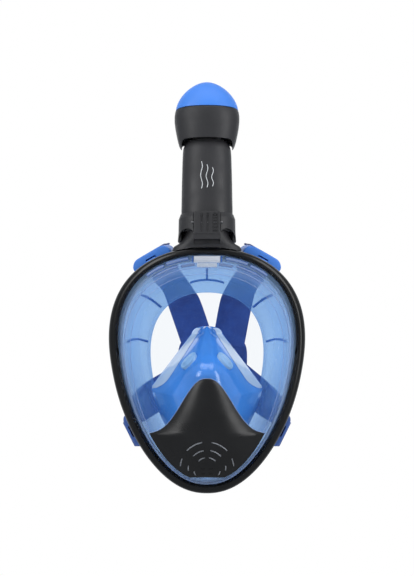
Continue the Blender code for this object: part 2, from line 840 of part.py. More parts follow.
def make_clip(name, place, half_length, reach, finish):
    """A strap clip: a wedge on a pin across the frame's lug, with a slot for the strap behind."""
    narrow = half_length * 0.72
    builder = bmesh.new()
    section = (
        (-half_length, CLIP_INNER),
        (half_length, CLIP_INNER),
        (half_length, reach * 0.35),
        (narrow, reach),
        (-narrow, reach),
        (-half_length, reach * 0.35),
    )
    lows = [builder.verts.new((x, y, CLIP_FRONT)) for x, y in section]
    slim = 0.004 + 0.25 * reach
    highs = [builder.verts.new((x * 0.95, min(y, slim), CLIP_BACK)) for x, y in section]
    builder.faces.new(lows)
    builder.faces.new(list(reversed(highs)))
    for i in range(len(section)):
        j = (i + 1) % len(section)
        builder.faces.new((lows[i], lows[j], highs[j], highs[i]))
    bmesh.ops.transform(builder, matrix=place, verts=builder.verts)
    clip = object_from(builder, name, finish)
    rounded(clip, 0.0011)
    pocket = block(name + "_pocket", (-0.0056, -0.02, 0.0), (0.0056, 0.0028, 0.0202), place=place)
    cut(clip, pocket)
    cut(clip, rod(name + "_bore", PIN_RADIUS + GAP, 0.05, pin_place(place), sides=10))
    slot_half = STRAP_CLIP_WIDTH / 2 + 0.001
    low = (-slot_half, -CUT_PAST, SLOT_BACK - 0.0026)
    high = (slot_half, CUT_PAST, SLOT_BACK + 0.0012)
    cut(clip, block(name + "_slot", low, high, place=place))
    return clip


def make_clips():
    for name, place in clip_places().items():
        upper = name.startswith("upper")
        half_length = 0.0205 if upper else 0.0168
        reach = 0.0095 if upper else 0.0048
        finish = "azure_plastic" if upper else "royal_plastic"
        make_clip(f"strap_clip_{name}", place, half_length, reach, finish)
        rod(f"clip_pin_{name}", PIN_RADIUS, 2 * half_length - 0.006, pin_place(place), "steel_pin", sides=10)


def curve_point(points, share):
    """A point on a smooth curve through the points, from 0 at the first to 1 at the last."""
    spans = len(points) - 1
    place = min(share * spans, spans - 1e-9)
    i = int(place)
    t = place - i
    before = points[max(i - 1, 0)]
    after = points[min(i + 2, spans)]
    start, end = points[i], points[i + 1]
    return 0.5 * (
        2 * start
        + (end - before) * t
        + (2 * before - 5 * start + 4 * end - after) * t * t
        + (3 * start - before - 3 * end + after) * t ** 3
    )


def strap_rows(route, widths, steps):
    rows = []
    for i in range(steps + 1):
        share = i / steps
        middle = curve_point(route, share)
        ahead = curve_point(route, min(1, share + 0.01))
        along = (ahead - curve_point(route, max(0, share - 0.01))).normalized()
        across = curve_point(widths, share)
        width = STRAP_CLIP_WIDTH + (STRAP_REAR_WIDTH - STRAP_CLIP_WIDTH) * smooth_between(share, 0.1, 0.6)
        across = (across - along * across.dot(along)).normalized() * width / 2
        rows.append([middle - across, middle, middle + across])
    return rows


def strap_start(place):
    """Just behind a clip's slot, and the slot's own direction."""
    start = place @ Vector((0, -0.004, SLOT_BACK + 0.0145))
    return start, place.to_3x3() @ Vector((1, 0, 0))


def strap_end(across, up):
    """A place on the front of the rear patch, which bends round the head."""
    return REAR_CENTRE + Vector((across, -0.0042 - REAR_CURVE * across * across, up))


def make_straps():
    for name, place in clip_places().items():
        side = 1 if name.endswith("left") else -1
        start, slot_line = strap_start(place)
        if name.startswith("upper"):
            if slot_line.x * side < 0:
                slot_line = -slot_line
            middle = [Vector((side * 0.043, 0.052, 0.092)), Vector((side * 0.031, 0.102, 0.070))]
            end = strap_end(side * 0.0182, 0.0235)
            widths = [
                slot_line,
                Vector((side, 0, -0.2)),
                Vector((side, -0.1, 0.25)),
                Vector((side, -0.21, 0.25)),
            ]
        else:
            if slot_line.z < 0:
                slot_line = -slot_line
            middle = [Vector((side * 0.076, 0.042, -0.05)), Vector((side * 0.057, 0.092, -0.036))]
            end = strap_end(side * 0.0245, -0.019)
            widths = [
                slot_line,
                Vector((0, 0, 1)),
                Vector((side * 0.3, 0, 1)),
                Vector((side * 0.55, -0.12, 1)),
            ]
        rows = strap_rows([start, *middle, end], widths, 12)
        sheet(f"strap_{name}", rows, STRAP_THICKNESS, "strap_blue", offset=0.0)


def make_rear_pad():
    """The patch that the four straps are sewn to, behind the head."""
    steps, power = 24, 3.2
    rings = []
    for thick, shrink in ((0.0, 0.96), (0.0008, 1.0), (0.0022, 1.0), (0.003, 0.96)):
        ring = []
        for i in range(steps):
            angle = 2 * math.pi * i / steps
            x = REAR_HALF_WIDTH * shrink * signed_power(math.cos(angle), 2 / power)
            z = REAR_HALF_HEIGHT * shrink * signed_power(math.sin(angle), 2 / power)
            ring.append(REAR_CENTRE + Vector((x, thick - REAR_CURVE * x * x, z)))
        rings.append(ring)
    object_from(ring_mesh(rings, closed=False), "strap_rear_pad", "strap_blue")


# ---- build -----------------------------------------------------------------------------

def clear_scene():
    for obj in list(bpy.data.objects):
        bpy.data.objects.remove(obj)


def snorkel_axis():
    axis = bpy.data.objects.new("snorkel_axis", None)
    bpy.context.collection.objects.link(axis)
    axis.location = SNORKEL_FOOT
    axis.rotation_euler = (-LEAN, 0, 0)
    return axis


def main():
    clear_scene()
    make_front_frame()
    make_rear_frame()
    make_lens()
    make_lens_seal()
    make_skirt()
    make_drain_valve()
    make_chin_cover()
    make_nose_pocket()
    make_inhale_valves()
    axis = snorkel_axis()
    make_socket(axis)
    make_gasket(axis)
    make_tube(axis)
    make_dividers(axis)
    make_collar(axis)
    make_latch(axis)
    make_casing(axis)
    make_float_parts(axis)
    make_cap(axis)
    make_clips()
    make_straps()
    make_rear_pad()


main()
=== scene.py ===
"""The looks of the full-face snorkel mask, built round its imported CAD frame.

Metres, +Z up, the mask looking along -Y. Mask pieces are drawn on the rim's egg outline and
snorkel pieces on the snorkel's leaning axis. Both come from the frame's own boxes.
"""

import json
import math

import bmesh
import bpy
import numpy as np
from mathutils import Matrix, Vector


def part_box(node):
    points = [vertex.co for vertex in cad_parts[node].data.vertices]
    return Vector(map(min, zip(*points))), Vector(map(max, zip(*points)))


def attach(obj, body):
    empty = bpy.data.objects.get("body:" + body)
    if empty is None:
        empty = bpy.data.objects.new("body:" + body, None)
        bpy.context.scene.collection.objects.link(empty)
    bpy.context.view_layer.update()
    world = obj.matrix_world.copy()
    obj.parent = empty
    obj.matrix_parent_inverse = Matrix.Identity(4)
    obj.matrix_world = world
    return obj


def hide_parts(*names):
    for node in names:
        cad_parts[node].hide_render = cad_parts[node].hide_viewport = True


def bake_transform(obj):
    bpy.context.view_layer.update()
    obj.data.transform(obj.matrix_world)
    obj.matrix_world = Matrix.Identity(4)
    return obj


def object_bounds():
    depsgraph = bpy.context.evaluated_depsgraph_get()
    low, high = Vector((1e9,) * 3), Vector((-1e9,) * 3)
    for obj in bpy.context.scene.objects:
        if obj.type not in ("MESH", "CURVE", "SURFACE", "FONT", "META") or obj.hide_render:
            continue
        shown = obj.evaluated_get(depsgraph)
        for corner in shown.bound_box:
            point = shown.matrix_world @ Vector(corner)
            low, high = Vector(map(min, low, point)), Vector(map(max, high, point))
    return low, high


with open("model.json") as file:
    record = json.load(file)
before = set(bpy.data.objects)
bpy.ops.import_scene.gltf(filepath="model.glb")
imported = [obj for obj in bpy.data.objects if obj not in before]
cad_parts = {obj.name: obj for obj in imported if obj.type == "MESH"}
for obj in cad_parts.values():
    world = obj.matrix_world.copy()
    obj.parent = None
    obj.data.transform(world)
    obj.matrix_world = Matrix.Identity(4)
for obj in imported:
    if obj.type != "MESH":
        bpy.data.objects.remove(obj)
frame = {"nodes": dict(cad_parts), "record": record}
CAD_LOW, CAD_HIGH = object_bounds()
MM = 0.001

# ---- driving dimensions, from the frame ----

EGG_TAPER = 0.23
EGG_POWER = 2.18
FACE_WRAP = 2.04
SEAL_WRAP = 5.0
BEAD_DEPTH = 0.0094
LEAN = math.radians(7)
DEPTH_RATIO = 0.86
OVAL_POWER = 2.25
RIM_STEPS = 200
OVAL_STEPS = 96
SEGMENT_STEPS = 12
SLOPE_STEP = 0.002
CUT_LENGTH = 0.02
SHARP_ANGLE = math.radians(42)

FRAME_LOW, FRAME_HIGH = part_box("front_frame")
PAD_LOW, PAD_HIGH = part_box("strap_rear_pad")


def signed_power(value, power):
    return math.copysign(abs(value) ** power, value)


def superellipse(angle, power):
    """(across, up) on a unit oval that fills its corners more as power grows."""
    return signed_power(math.cos(angle), 2 / power), signed_power(math.sin(angle), 2 / power)


def egg_shape(angle):
    """(across, up) on an oval one unit high, wider above its middle and narrower below."""
    across, up = superellipse(angle, EGG_POWER)
    return across * (1 + EGG_TAPER * up), up


def turns(steps):
    """Evenly spaced angles once round."""
    return [2 * math.pi * i / steps for i in range(steps)]


def shares(steps):
    """Evenly spaced shares from 0 to 1, both included."""
    return [i / steps for i in range(steps + 1)]


def axes_matrix(along, up, out, place):
    """The matrix with these axes and this origin."""
    matrix = Matrix((along, up, out)).transposed().to_4x4()
    matrix.translation = place
    return matrix


EGG_WIDEST = max(egg_shape(math.radians(angle))[0] for angle in range(90))
RIM_HALF_HEIGHT = -FRAME_LOW.z
RIM_HALF_WIDTH = FRAME_HIGH.x / EGG_WIDEST
RIM_Y = FRAME_LOW.y + BEAD_DEPTH
SNORKEL_FOOT = Vector((0, RIM_Y + 0.0035, RIM_HALF_HEIGHT - 0.0001))
SNORKEL = Matrix.Translation(SNORKEL_FOOT) @ Matrix.Rotation(-LEAN, 4, "X")

PANEL_INSET = 0.024
PANEL_DROP = -0.003
PANEL_EDGE = 0.049
PANEL_RISE = 0.0055
LENS_WALL = 0.0022
COVER_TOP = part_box("chin_cover")[1].z
BELL_HEIGHT = 0.0521
BELL_SPREAD = 0.0294
BELL_POWER = 2.3
COVER_WALL = 0.0022
COVER_BULGE = 0.0075
COVER_GAP = 0.0006
COVER_LAP = 0.003
GRILLE_CENTRE_Z = -0.0868
GRILLE_ARCS = ((42, 80), (100, 138))
GRILLE_ARC_WIDTH = 0.0011
GRILLE_TICK_WIDTH = 0.001
GRILLE_CUT_Y = (-0.13, -0.09)
ARC_STEPS = 13
GRILLE_RADII = (0.0105, 0.0172, 0.0248)
GRILLE_TICKS = ((0.0245, 4, 22), (0.0172, -9, 9), (0.0122, -34, -12))


# ---- mesh helpers ----

def placed(name, data):
    obj = bpy.data.objects.new(name, data)
    bpy.context.scene.collection.objects.link(obj)
    return obj


def shade(mesh):
    mesh.shade_smooth()
    mesh.set_sharp_from_angle(angle=SHARP_ANGLE)


def object_from(builder, name, material=None):
    bmesh.ops.recalc_face_normals(builder, faces=builder.faces)
    mesh = bpy.data.meshes.new(name)
    builder.to_mesh(mesh)
    builder.free()
    shade(mesh)
    if material:
        mesh.materials.append(material)
    return placed(name, mesh)


def ring_mesh(rings, closed, builder=None):
    """Joins equal rings of points. Closed joins the last ring to the first; open ends are capped."""
    builder = builder or bmesh.new()
    rows = [[builder.verts.new(point) for point in ring] for ring in rings]
    count = len(rows[0])
    pairs = list(zip(rows, rows[1:]))
    if closed:
        pairs.append((rows[-1], rows[0]))
    else:
        builder.faces.new(rows[0])
        builder.faces.new(list(reversed(rows[-1])))
    for low, high in pairs:
        for i in range(count):
            j = (i + 1) % count
            builder.faces.new((low[i], low[j], high[j], high[i]))
    return builder


def solid(rings, name, material=None, closed=False):
    return object_from(ring_mesh(rings, closed), name, material)


def tube_mesh(path, radius, closed=False, sides=10):
    """A round bead of this radius along a path of points."""
    count = len(path)
    rings = []
    for i, point in enumerate(path):
        ahead = path[(i + 1) % count] if closed or i + 1 < count else point
        behind = path[i - 1] if closed or i else point
        along = (ahead - behind).normalized()
        side = along.cross(Vector((0, 1, 0))).normalized()
        up = side.cross(along)
        rings.append([point + (side * math.cos(a) + up * math.sin(a)) * radius for a in turns(sides)])
    return ring_mesh(rings, closed)


def fanned(half, columns):
    """Places from -half to half, closer together towards the ends."""
    return [half * math.sin(math.pi / 2 * (2 * share - 1)) for share in shares(columns)]


def surface_row(xs, z, surface, behind=0.0):
    """Points at one height on a surface that gives y from (x, z), or this far behind it."""
    return [Vector((x, surface(x, z) + behind, z)) for x in xs]


def slab_mesh(rows, thickness):
    """A closed solid from a sheet of rows, with this thickness behind it towards +Y."""
    back = Vector((0, thickness, 0))
    rings = [list(row) + [point + back for point in reversed(row)] for row in rows]
    return ring_mesh(rings, closed=False)


def settle(obj):
    """Applies the object's modifiers, so that its mesh is final."""
    bpy.context.view_layer.update()
    graph = bpy.context.evaluated_depsgraph_get()
    mesh = bpy.data.meshes.new_from_object(obj.evaluated_get(graph))
    obj.modifiers.clear()
    obj.data = mesh
    shade(mesh)
    return obj


def carve(obj, cutters):
    """Cuts all the cutters out of obj and removes them."""
    for cutter in cutters:
        modifier = obj.modifiers.new("cut", "BOOLEAN")
        modifier.object = cutter
        modifier.operation = "DIFFERENCE"
        modifier.solver = "EXACT"
    settle(obj)
    for cutter in cutters:
        bpy.data.objects.remove(cutter)
    return obj


def bevelled(obj, width, segments=3):
    bevel = obj.modifiers.new("rounding", "BEVEL")
    bevel.width = width
    bevel.segments = segments
    bevel.limit_method = "ANGLE"
    bevel.angle_limit = math.radians(30)
    return settle(obj)


def joined(name, parts, material):
    """One mesh object from several, which are removed."""
    builder = bmesh.new()
    for part in parts:
        builder.from_mesh(part.data)
        bpy.data.objects.remove(part)
    return object_from(builder, name, material)


def block(name, low, high, place=None, material=None):
    builder = bmesh.new()
    bmesh.ops.create_cube(builder, size=1)
    size = Vector(high) - Vector(low)
    middle = (Vector(high) + Vector(low)) / 2
    for vert in builder.verts:
        vert.co = Vector(a * b for a, b in zip(vert.co, size)) + middle
    if place:
        bmesh.ops.transform(builder, matrix=place, verts=builder.verts)
    return object_from(builder, name, material)


def turned(name, profile, place, material, stretch=1.0, sides=64, closed=True):
    """A ring turned about the local Z of place, from (radius, z) points."""
    rings = []
    for radius, z in profile:
        ring = [Vector((radius * math.cos(a), radius * stretch * math.sin(a), z)) for a in turns(sides)]
        rings.append([place @ point for point in ring])
    return solid(rings, name, material, closed)


def rod(name, radius, length, place, stretch=1.0, sides=32):
    ends = ((radius, -length / 2), (radius, length / 2))
    return turned(name, ends, place, None, stretch, sides, closed=False)


def filleted(points, radius, steps=4, closed=True):
    """An outline with its corners rounded. Each point is a tuple whose first two values are its place."""
    points = [np.array(point, float) for point in points]
    count = len(points)
    out = []
    for i, point in enumerate(points):
        if not closed and i in (0, count - 1):
            out.append(point)
            continue
        before = points[i - 1] - point
        after = points[(i + 1) % count] - point
        reach_before = min(0.46, radius / max(1e-9, np.hypot(*before[:2])))
        reach_after = min(0.46, radius / max(1e-9, np.hypot(*after[:2])))
        start = point + before * reach_before
        end = point + after * reach_after
        for t in shares(steps):
            out.append(start * (1 - t) ** 2 + point * 2 * t * (1 - t) + end * t * t)
    return out


def piece(obj, body, slot, node=None):
    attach(obj, body)
    if node:
        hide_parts(node)


def smooth_between(value, low, high):
    share = min(1.0, max(0.0, (value - low) / (high - low)))
    return share * share * (3 - 2 * share)


# ---- the rim's egg ----

def egg_point(angle, inset, drop=0.0, scale=1.0):
    across, up = egg_shape(angle)
    return (RIM_HALF_WIDTH - inset) * scale * across, (RIM_HALF_HEIGHT - inset) * scale * up + drop


def egg_half_width(z, inset, drop=0.0):
    height = (z - drop) / (RIM_HALF_HEIGHT - inset)
    reach = max(0.0, 1 - abs(height) ** EGG_POWER) ** (1 / EGG_POWER)
    return (RIM_HALF_WIDTH - inset) * reach * (1 + EGG_TAPER * height)


def on_egg(angle, inset, forward, drop=0.0, scale=1.0, wrap=FACE_WRAP):
    x, z = egg_point(angle, inset, drop, scale)
    return Vector((x, RIM_Y + wrap * x * x - forward, z))


def egg_ring(inset, forward, drop=0.0, scale=1.0, wrap=FACE_WRAP):
    return [on_egg(angle, inset, forward, drop, scale, wrap) for angle in turns(RIM_STEPS)]


def full_profile(profile, radius, steps=4, closed=True):
    """(inset, forward, drop, wrap) rows in metres with rounded corners, from (inset, forward) and
    maybe (drop, wrap) in millimetres. wrap is not a length, so it stays as it is."""
    rows = []
    for inset, forward, *rest in profile:
        drop = rest[0] if rest else 0.0
        wrap = rest[1] if len(rest) > 1 else FACE_WRAP
        rows.append((inset * MM, forward * MM, drop * MM, wrap))
    return filleted(rows, radius * MM, steps, closed)


def egg_loop(name, profile, material, radius=0.6, steps=4):
    rows = full_profile(profile, radius, steps)
    rings = [egg_ring(inset, forward, drop, wrap=wrap) for inset, forward, drop, wrap in rows]
    return solid(rings, name, material, closed=True)


def egg_segment(name, inset, forward, start, end):
    """A short block along the rim between two angles; inset and forward are (low, high) pairs."""
    corners = [(inset[i], forward[j]) for i, j in ((0, 0), (1, 0), (1, 1), (0, 1))]
    rings = []
    for share in shares(SEGMENT_STEPS):
        angle = start + (end - start) * share
        rings.append([on_egg(angle, a, b) for a, b in corners])
    return solid(rings, name)


def rim_frame(angle):
    """Axes at a place on the rim: X along the rim, Y away from it, Z towards the head."""
    here, ahead = (on_egg(angle + step, 0, 0) for step in (0, 0.01))
    along = (ahead - here).normalized()
    back = Vector((0, 1, 0))
    back = (back - along * along.y).normalized()
    out = along.cross(back).normalized()
    if out.dot(Vector((here.x, 0, here.z))) < 0:
        out = -out
        along = -along
    return axes_matrix(along, out, back, here)


# ---- materials ----

def new_material(name):
    material = bpy.data.materials.new(name)
    material.use_nodes = True
    tree = material.node_tree
    return material, tree, tree.nodes["Principled BSDF"]


def add_node(tree, kind, **values):
    node = tree.nodes.new(kind)
    for key, value in values.items():
        setattr(node, key, value)
    return node


def set_values(node, values):
    for key, value in values.items():
        node.inputs[key].default_value = value


def noise(tree, scale, detail=3.0):
    place = add_node(tree, "ShaderNodeTexCoord")
    texture = add_node(tree, "ShaderNodeTexNoise")
    set_values(texture, {"Scale": scale, "Detail": detail, "Roughness": 0.5})
    tree.links.new(place.outputs["Object"], texture.inputs["Vector"])
    return texture.outputs["Fac"]


def ramp(tree, source, low, high, start=0.3, end=0.7):
    """A colour ramp from low to high, linked to source."""
    node = add_node(tree, "ShaderNodeValToRGB")
    node.color_ramp.elements[0].position = start
    node.color_ramp.elements[1].position = end
    node.color_ramp.elements[0].color = (*low, 1)
    node.color_ramp.elements[1].color = (*high, 1)
    tree.links.new(source, node.inputs["Fac"])
    return node.outputs["Color"]


def drift(tree, shader, scale, low, high):
    """A slow drift of the base colour from low to high."""
    tree.links.new(ramp(tree, noise(tree, scale), low, high), shader.inputs["Base Color"])


def smudge(tree, shader, scale, rough, detail=3.0):
    """Roughness that varies over the range rough, as the noise goes from 0.3 to 0.7."""
    node = add_node(tree, "ShaderNodeMapRange")
    set_values(node, {"From Min": 0.3, "From Max": 0.7, "To Min": rough[0], "To Max": rough[1]})
    tree.links.new(noise(tree, scale, detail), node.inputs["Value"])
    tree.links.new(node.outputs["Result"], shader.inputs["Roughness"])


def bump(tree, shader, source, strength, distance):
    node = add_node(tree, "ShaderNodeBump")
    set_values(node, {"Strength": strength, "Distance": distance})
    tree.links.new(source, node.inputs["Height"])
    tree.links.new(node.outputs["Normal"], shader.inputs["Normal"])


def mix_shaders(tree, share, first, second):
    """The shader output that goes from first to second; share is a value or a node's output."""
    mix = add_node(tree, "ShaderNodeMixShader")
    if isinstance(share, float):
        set_values(mix, {"Fac": share})
    else:
        tree.links.new(share, mix.inputs["Fac"])
    tree.links.new(first, mix.inputs[1])
    tree.links.new(second, mix.inputs[2])
    return mix.outputs["Shader"]


def moulded(name, colour, lift, rough, grain, depth, coat=0.0, specular=0.5):
    """Moulded plastic: slow colour drift, smudged roughness and a fine grain."""
    material, tree, shader = new_material(name)
    light = tuple(min(1.0, part * lift) for part in colour)
    drift(tree, shader, 35.0, colour, light)
    smudge(tree, shader, 60.0, rough, detail=5.0)
    bump(tree, shader, noise(tree, grain, detail=2.0), 0.35, depth)
    set_values(shader, {"Coat Weight": coat, "Coat Roughness": 0.08, "Specular IOR Level": specular})
    return material


def see_through(name, tint, colour, rough, solid, edge, grain=0.0, backlit=0.0):
    """Clear or milky plastic: a tinted see-through share, more solid at its edges."""
    material, tree, shader = new_material(name)
    drift(tree, shader, 28.0, *colour)
    smudge(tree, shader, 50.0, rough)
    if grain:
        bump(tree, shader, noise(tree, 700.0), 0.3, grain)
    body = shader.outputs["BSDF"]
    if backlit:
        glow = add_node(tree, "ShaderNodeBsdfTranslucent")
        set_values(glow, {"Color": (*colour[1], 1)})
        body = mix_shaders(tree, backlit, body, glow.outputs["BSDF"])
    clear = add_node(tree, "ShaderNodeBsdfTransparent")
    set_values(clear, {"Color": (*tint, 1)})
    facing = add_node(tree, "ShaderNodeLayerWeight")
    set_values(facing, {"Blend": 0.35})
    share = add_node(tree, "ShaderNodeMapRange")
    set_values(share, {"To Min": solid, "To Max": edge})
    tree.links.new(facing.outputs["Facing"], share.inputs["Value"])
    mixed = mix_shaders(tree, share.outputs["Result"], clear.outputs["BSDF"], body)
    tree.links.new(mixed, tree.nodes["Material Output"].inputs["Surface"])
    return material


def woven(name, colour, light, pitch):
    """Webbing: fine ribs across and along, with a soft sheen."""
    material, tree, shader = new_material(name)
    place = add_node(tree, "ShaderNodeUVMap")
    place.uv_map = "length_width"
    waves = []
    for direction in ("X", "Y"):
        wave = add_node(tree, "ShaderNodeTexWave", bands_direction=direction)
        set_values(wave, {"Scale": math.pi / 10 / pitch, "Distortion": 0.6, "Detail": 1.5})
        tree.links.new(place.outputs["UV"], wave.inputs["Vector"])
        waves.append(wave.outputs["Fac"])
    weave = add_node(tree, "ShaderNodeMath", operation="MULTIPLY")
    tree.links.new(waves[0], weave.inputs[0])
    tree.links.new(waves[1], weave.inputs[1])
    blotch = add_node(tree, "ShaderNodeMath", operation="ADD")
    tree.links.new(weave.outputs["Value"], blotch.inputs[0])
    tree.links.new(noise(tree, 90.0, detail=4.0), blotch.inputs[1])
    blotched = ramp(tree, blotch.outputs["Value"], colour, light, 0.35, 1.25)
    tree.links.new(blotched, shader.inputs["Base Color"])
    smudge(tree, shader, 400.0, (0.68, 0.86))
    bump(tree, shader, weave.outputs["Value"], 0.6, 0.00025)
    set_values(shader, {"Sheen Weight": 0.25, "Sheen Roughness": 0.4})
    return material


# Moulded parts: colour, lift of its lighter drift, roughness range, grain scale and depth, and maybe
# coat and specular
MOULDED = {
    "gloss_black": ((0.003, 0.003, 0.0033), 1.7, (0.16, 0.26), 500.0, 0.00001, 0.0, 0.32),
    "satin_black": ((0.0125, 0.0122, 0.0142), 1.5, (0.46, 0.6), 1400.0, 0.00004),
    "cover_black": ((0.006, 0.006, 0.0065), 1.5, (0.26, 0.36), 1200.0, 0.00002, 0.0, 0.3),
    "azure_plastic": ((0.045, 0.205, 0.7), 1.12, (0.44, 0.56), 1300.0, 0.000008),
    # The lower clips and lugs are the same azure plastic as the upper ones; this darker royal blue is
    # painted shade, as if they lay in shadow.
    "royal_plastic": ((0.03, 0.085, 0.3), 1.25, (0.4, 0.54), 1300.0, 0.00003),
    "azure_silicone": ((0.06, 0.25, 0.72), 1.2, (0.1, 0.16), 300.0, 0.00001, 0.6),
    # A pale grey used as painted light: the light seen in the grille's slots and through the air intake
    # under the neck.
    "pale_grey": ((0.5, 0.52, 0.57), 1.15, (0.35, 0.5), 1600.0, 0.00002),
    "lens_line": ((0.03, 0.09, 0.32), 1.4, (0.2, 0.3), 1200.0, 0.00002),
    "thread": ((0.06, 0.14, 0.45), 1.3, (0.6, 0.75), 2500.0, 0.00005),
    "float_white": ((0.7, 0.7, 0.68), 1.1, (0.45, 0.6), 900.0, 0.00005),
    "mark_white": ((0.6, 0.61, 0.63), 1.1, (0.4, 0.5), 1500.0, 0.00001),
}

# See-through parts: tint, darker and lighter colour, roughness range, solid share face-on and at its
# edges, grain depth, backlit share
SEE_THROUGH = {
    "clear_lens": ((0.955, 0.97, 0.985), ((0.42, 0.54, 0.74), (0.56, 0.68, 0.86)), (0.02, 0.05), 0.0, 0.12),
    "lens_edge": ((0.6, 0.72, 0.9), ((0.3, 0.42, 0.66), (0.5, 0.62, 0.84)), (0.04, 0.1), 0.35, 0.9),
    "lens_tab": ((0.55, 0.68, 0.88), ((0.36, 0.5, 0.76), (0.5, 0.64, 0.88)), (0.05, 0.12), 0.4, 0.9),
    "blue_skirt": (
        (0.68, 0.83, 0.98), ((0.2, 0.47, 0.9), (0.32, 0.6, 0.96)), (0.12, 0.2), 0.27, 0.7, 0.00002, 0.4
    ),
    "skirt_rib": ((0.15, 0.38, 0.8), ((0.05, 0.2, 0.62), (0.08, 0.28, 0.72)), (0.2, 0.3), 0.75, 0.95),
    "valve_silicone": ((0.85, 0.92, 1.0), ((0.4, 0.58, 0.82), (0.52, 0.7, 0.9)), (0.1, 0.2), 0.7, 0.95),
    # The pocket flanges' pale silicone is a painted highlight: it stands for the lamps' reflection along
    # the pocket's upper edges.
    "pale_silicone": ((0.8, 0.9, 1.0), ((0.55, 0.72, 0.95), (0.72, 0.84, 0.98)), (0.08, 0.15), 0.72, 0.95),
    "valve_pale": ((0.7, 0.85, 1.0), ((0.3, 0.54, 0.86), (0.42, 0.64, 0.92)), (0.06, 0.12), 0.8, 0.98),
}
WEBBING_DARK = (0.01, 0.035, 0.19)
WEBBING_LIGHT = (0.022, 0.085, 0.38)
WEBBING_PITCH = 0.0011
STEEL_DARK = (0.12, 0.12, 0.125)
STEEL_LIGHT = (0.2, 0.2, 0.21)


def make_materials():
    mats = {name: moulded(name, *values) for name, values in MOULDED.items()}
    for name, values in SEE_THROUGH.items():
        mats[name] = see_through(name, *values)
    mats["strap_blue"] = woven("strap_blue", WEBBING_DARK, WEBBING_LIGHT, WEBBING_PITCH)
    mats["steel_pin"] = steel("steel_pin")
    return mats


def steel(name):
    material, tree, shader = new_material(name)
    set_values(shader, {"Metallic": 1.0})
    drift(tree, shader, 300.0, STEEL_DARK, STEEL_LIGHT)
    smudge(tree, shader, 800.0, (0.22, 0.4))
    bump(tree, shader, noise(tree, 1600.0), 0.3, 0.00001)
    return material


# ---- frame, lens and skirt ----

INTAKE_HALF_WIDTH = 0.013
INTAKE_FORWARD = (0.0065, 0.0002)
INTAKE_HEIGHT = (0.095, 0.13)
NOTCH_ANGLES = (8, 172)
NOTCH_HALF_ANGLE = 0.028
NOTCH_INSET = (0.0078, 0.013)
NOTCH_FORWARD = (0.0035, 0.012)


def intake_cutter():
    """Cuts the air passage from the top of the mask into the snorkel's neck."""
    low = (-INTAKE_HALF_WIDTH, RIM_Y - INTAKE_FORWARD[0], INTAKE_HEIGHT[0])
    high = (INTAKE_HALF_WIDTH, RIM_Y - INTAKE_FORWARD[1], INTAKE_HEIGHT[1])
    return block("intake", low, high)


def side_notch_cutters():
    """The small catch notches half-way down each side of the rim's inner edge."""
    for degrees in NOTCH_ANGLES:
        start, end = (math.radians(degrees) + turn for turn in (-NOTCH_HALF_ANGLE, NOTCH_HALF_ANGLE))
        yield egg_segment("notch", NOTCH_INSET, NOTCH_FORWARD, start, end)


def make_front_frame(mats):
    profile = (
        (4.0, -1.7), (0.8, -1.7), (0.0, 0.4), (0.0, 5.2), (1.5, 8.3), (4.4, 9.4), (6.9, 8.7, 1.0),
        (7.3, 7.7, 1.4), (8.5, 7.3, 1.8), (9.0, 5.8, 2.0), (9.0, -1.7, 2.0),
    )
    shell = egg_loop("rim_shell", profile, mats["gloss_black"], 1.2, 5)
    carve(shell, [intake_cutter(), *side_notch_cutters()])
    piece(shell, "mask", "gloss_black", "front_frame")


PIN_RADIUS = 0.0012
PIN_OUT = -0.0012
PIN_BACK = 0.0135
UPPER_ANGLE = math.radians(62)
LOWER_ANGLE = math.radians(-28)
SLOT_BACK = 0.031
LUG_BOX = ((-0.0053, -0.007, 0.0085), (0.0053, 0.0013, 0.0185))
LUG_ROUNDING = 0.0008
LUG_BORE_GAP = 0.0002


def clip_places():
    places = {}
    for level, angle in (("upper", UPPER_ANGLE), ("lower", LOWER_ANGLE)):
        places[f"{level}_left"] = rim_frame(angle)
        places[f"{level}_right"] = rim_frame(math.pi - angle)
    return places


def pin_place(place):
    return place @ Matrix.Translation((0, PIN_OUT, PIN_BACK)) @ Matrix.Rotation(math.pi / 2, 4, "Y")


def make_rear_frame(mats):
    profile = (
        (10.0, -7.5), (10.0, -14.0), (8.4, -16.0), (6.0, -16.0), (4.5, -14.5), (4.5, -9.0), (0.6, -6.5),
        (0.6, -2.1), (3.0, -2.1), (3.4, -7.5),
    )
    for name, place in clip_places().items():
        # The lower lugs get the darker blue as painted shade.
        finish = "azure_plastic" if name.startswith("upper") else "royal_plastic"
        lug = block(f"lug_{name}", *LUG_BOX, place, mats[finish])
        bevelled(lug, LUG_ROUNDING)
        carve(lug, [rod("lug_bore", PIN_RADIUS + LUG_BORE_GAP, CUT_LENGTH, pin_place(place))])
        piece(lug, "mask", finish)
    ring = egg_loop("clamp_ring", profile, mats["satin_black"], 0.7)
    piece(ring, "mask", "satin_black", "rear_frame")


def panel_forward(spread_out):
    return PANEL_EDGE + PANEL_RISE * (1 - spread_out * spread_out)


def panel_y(x, z):
    """The outer face of the lens's front panel."""
    height = (z - PANEL_DROP) / (RIM_HALF_HEIGHT - PANEL_INSET)
    side = x / ((RIM_HALF_WIDTH - PANEL_INSET) * (1 + EGG_TAPER * max(-1.0, min(1.0, height))))
    out = min(1.0, (abs(side) ** EGG_POWER + abs(height) ** EGG_POWER) ** (1 / EGG_POWER))
    return RIM_Y + FACE_WRAP * x * x - panel_forward(out)


DRAIN_RADIUS = 0.0122
PANEL_RINGS = 12


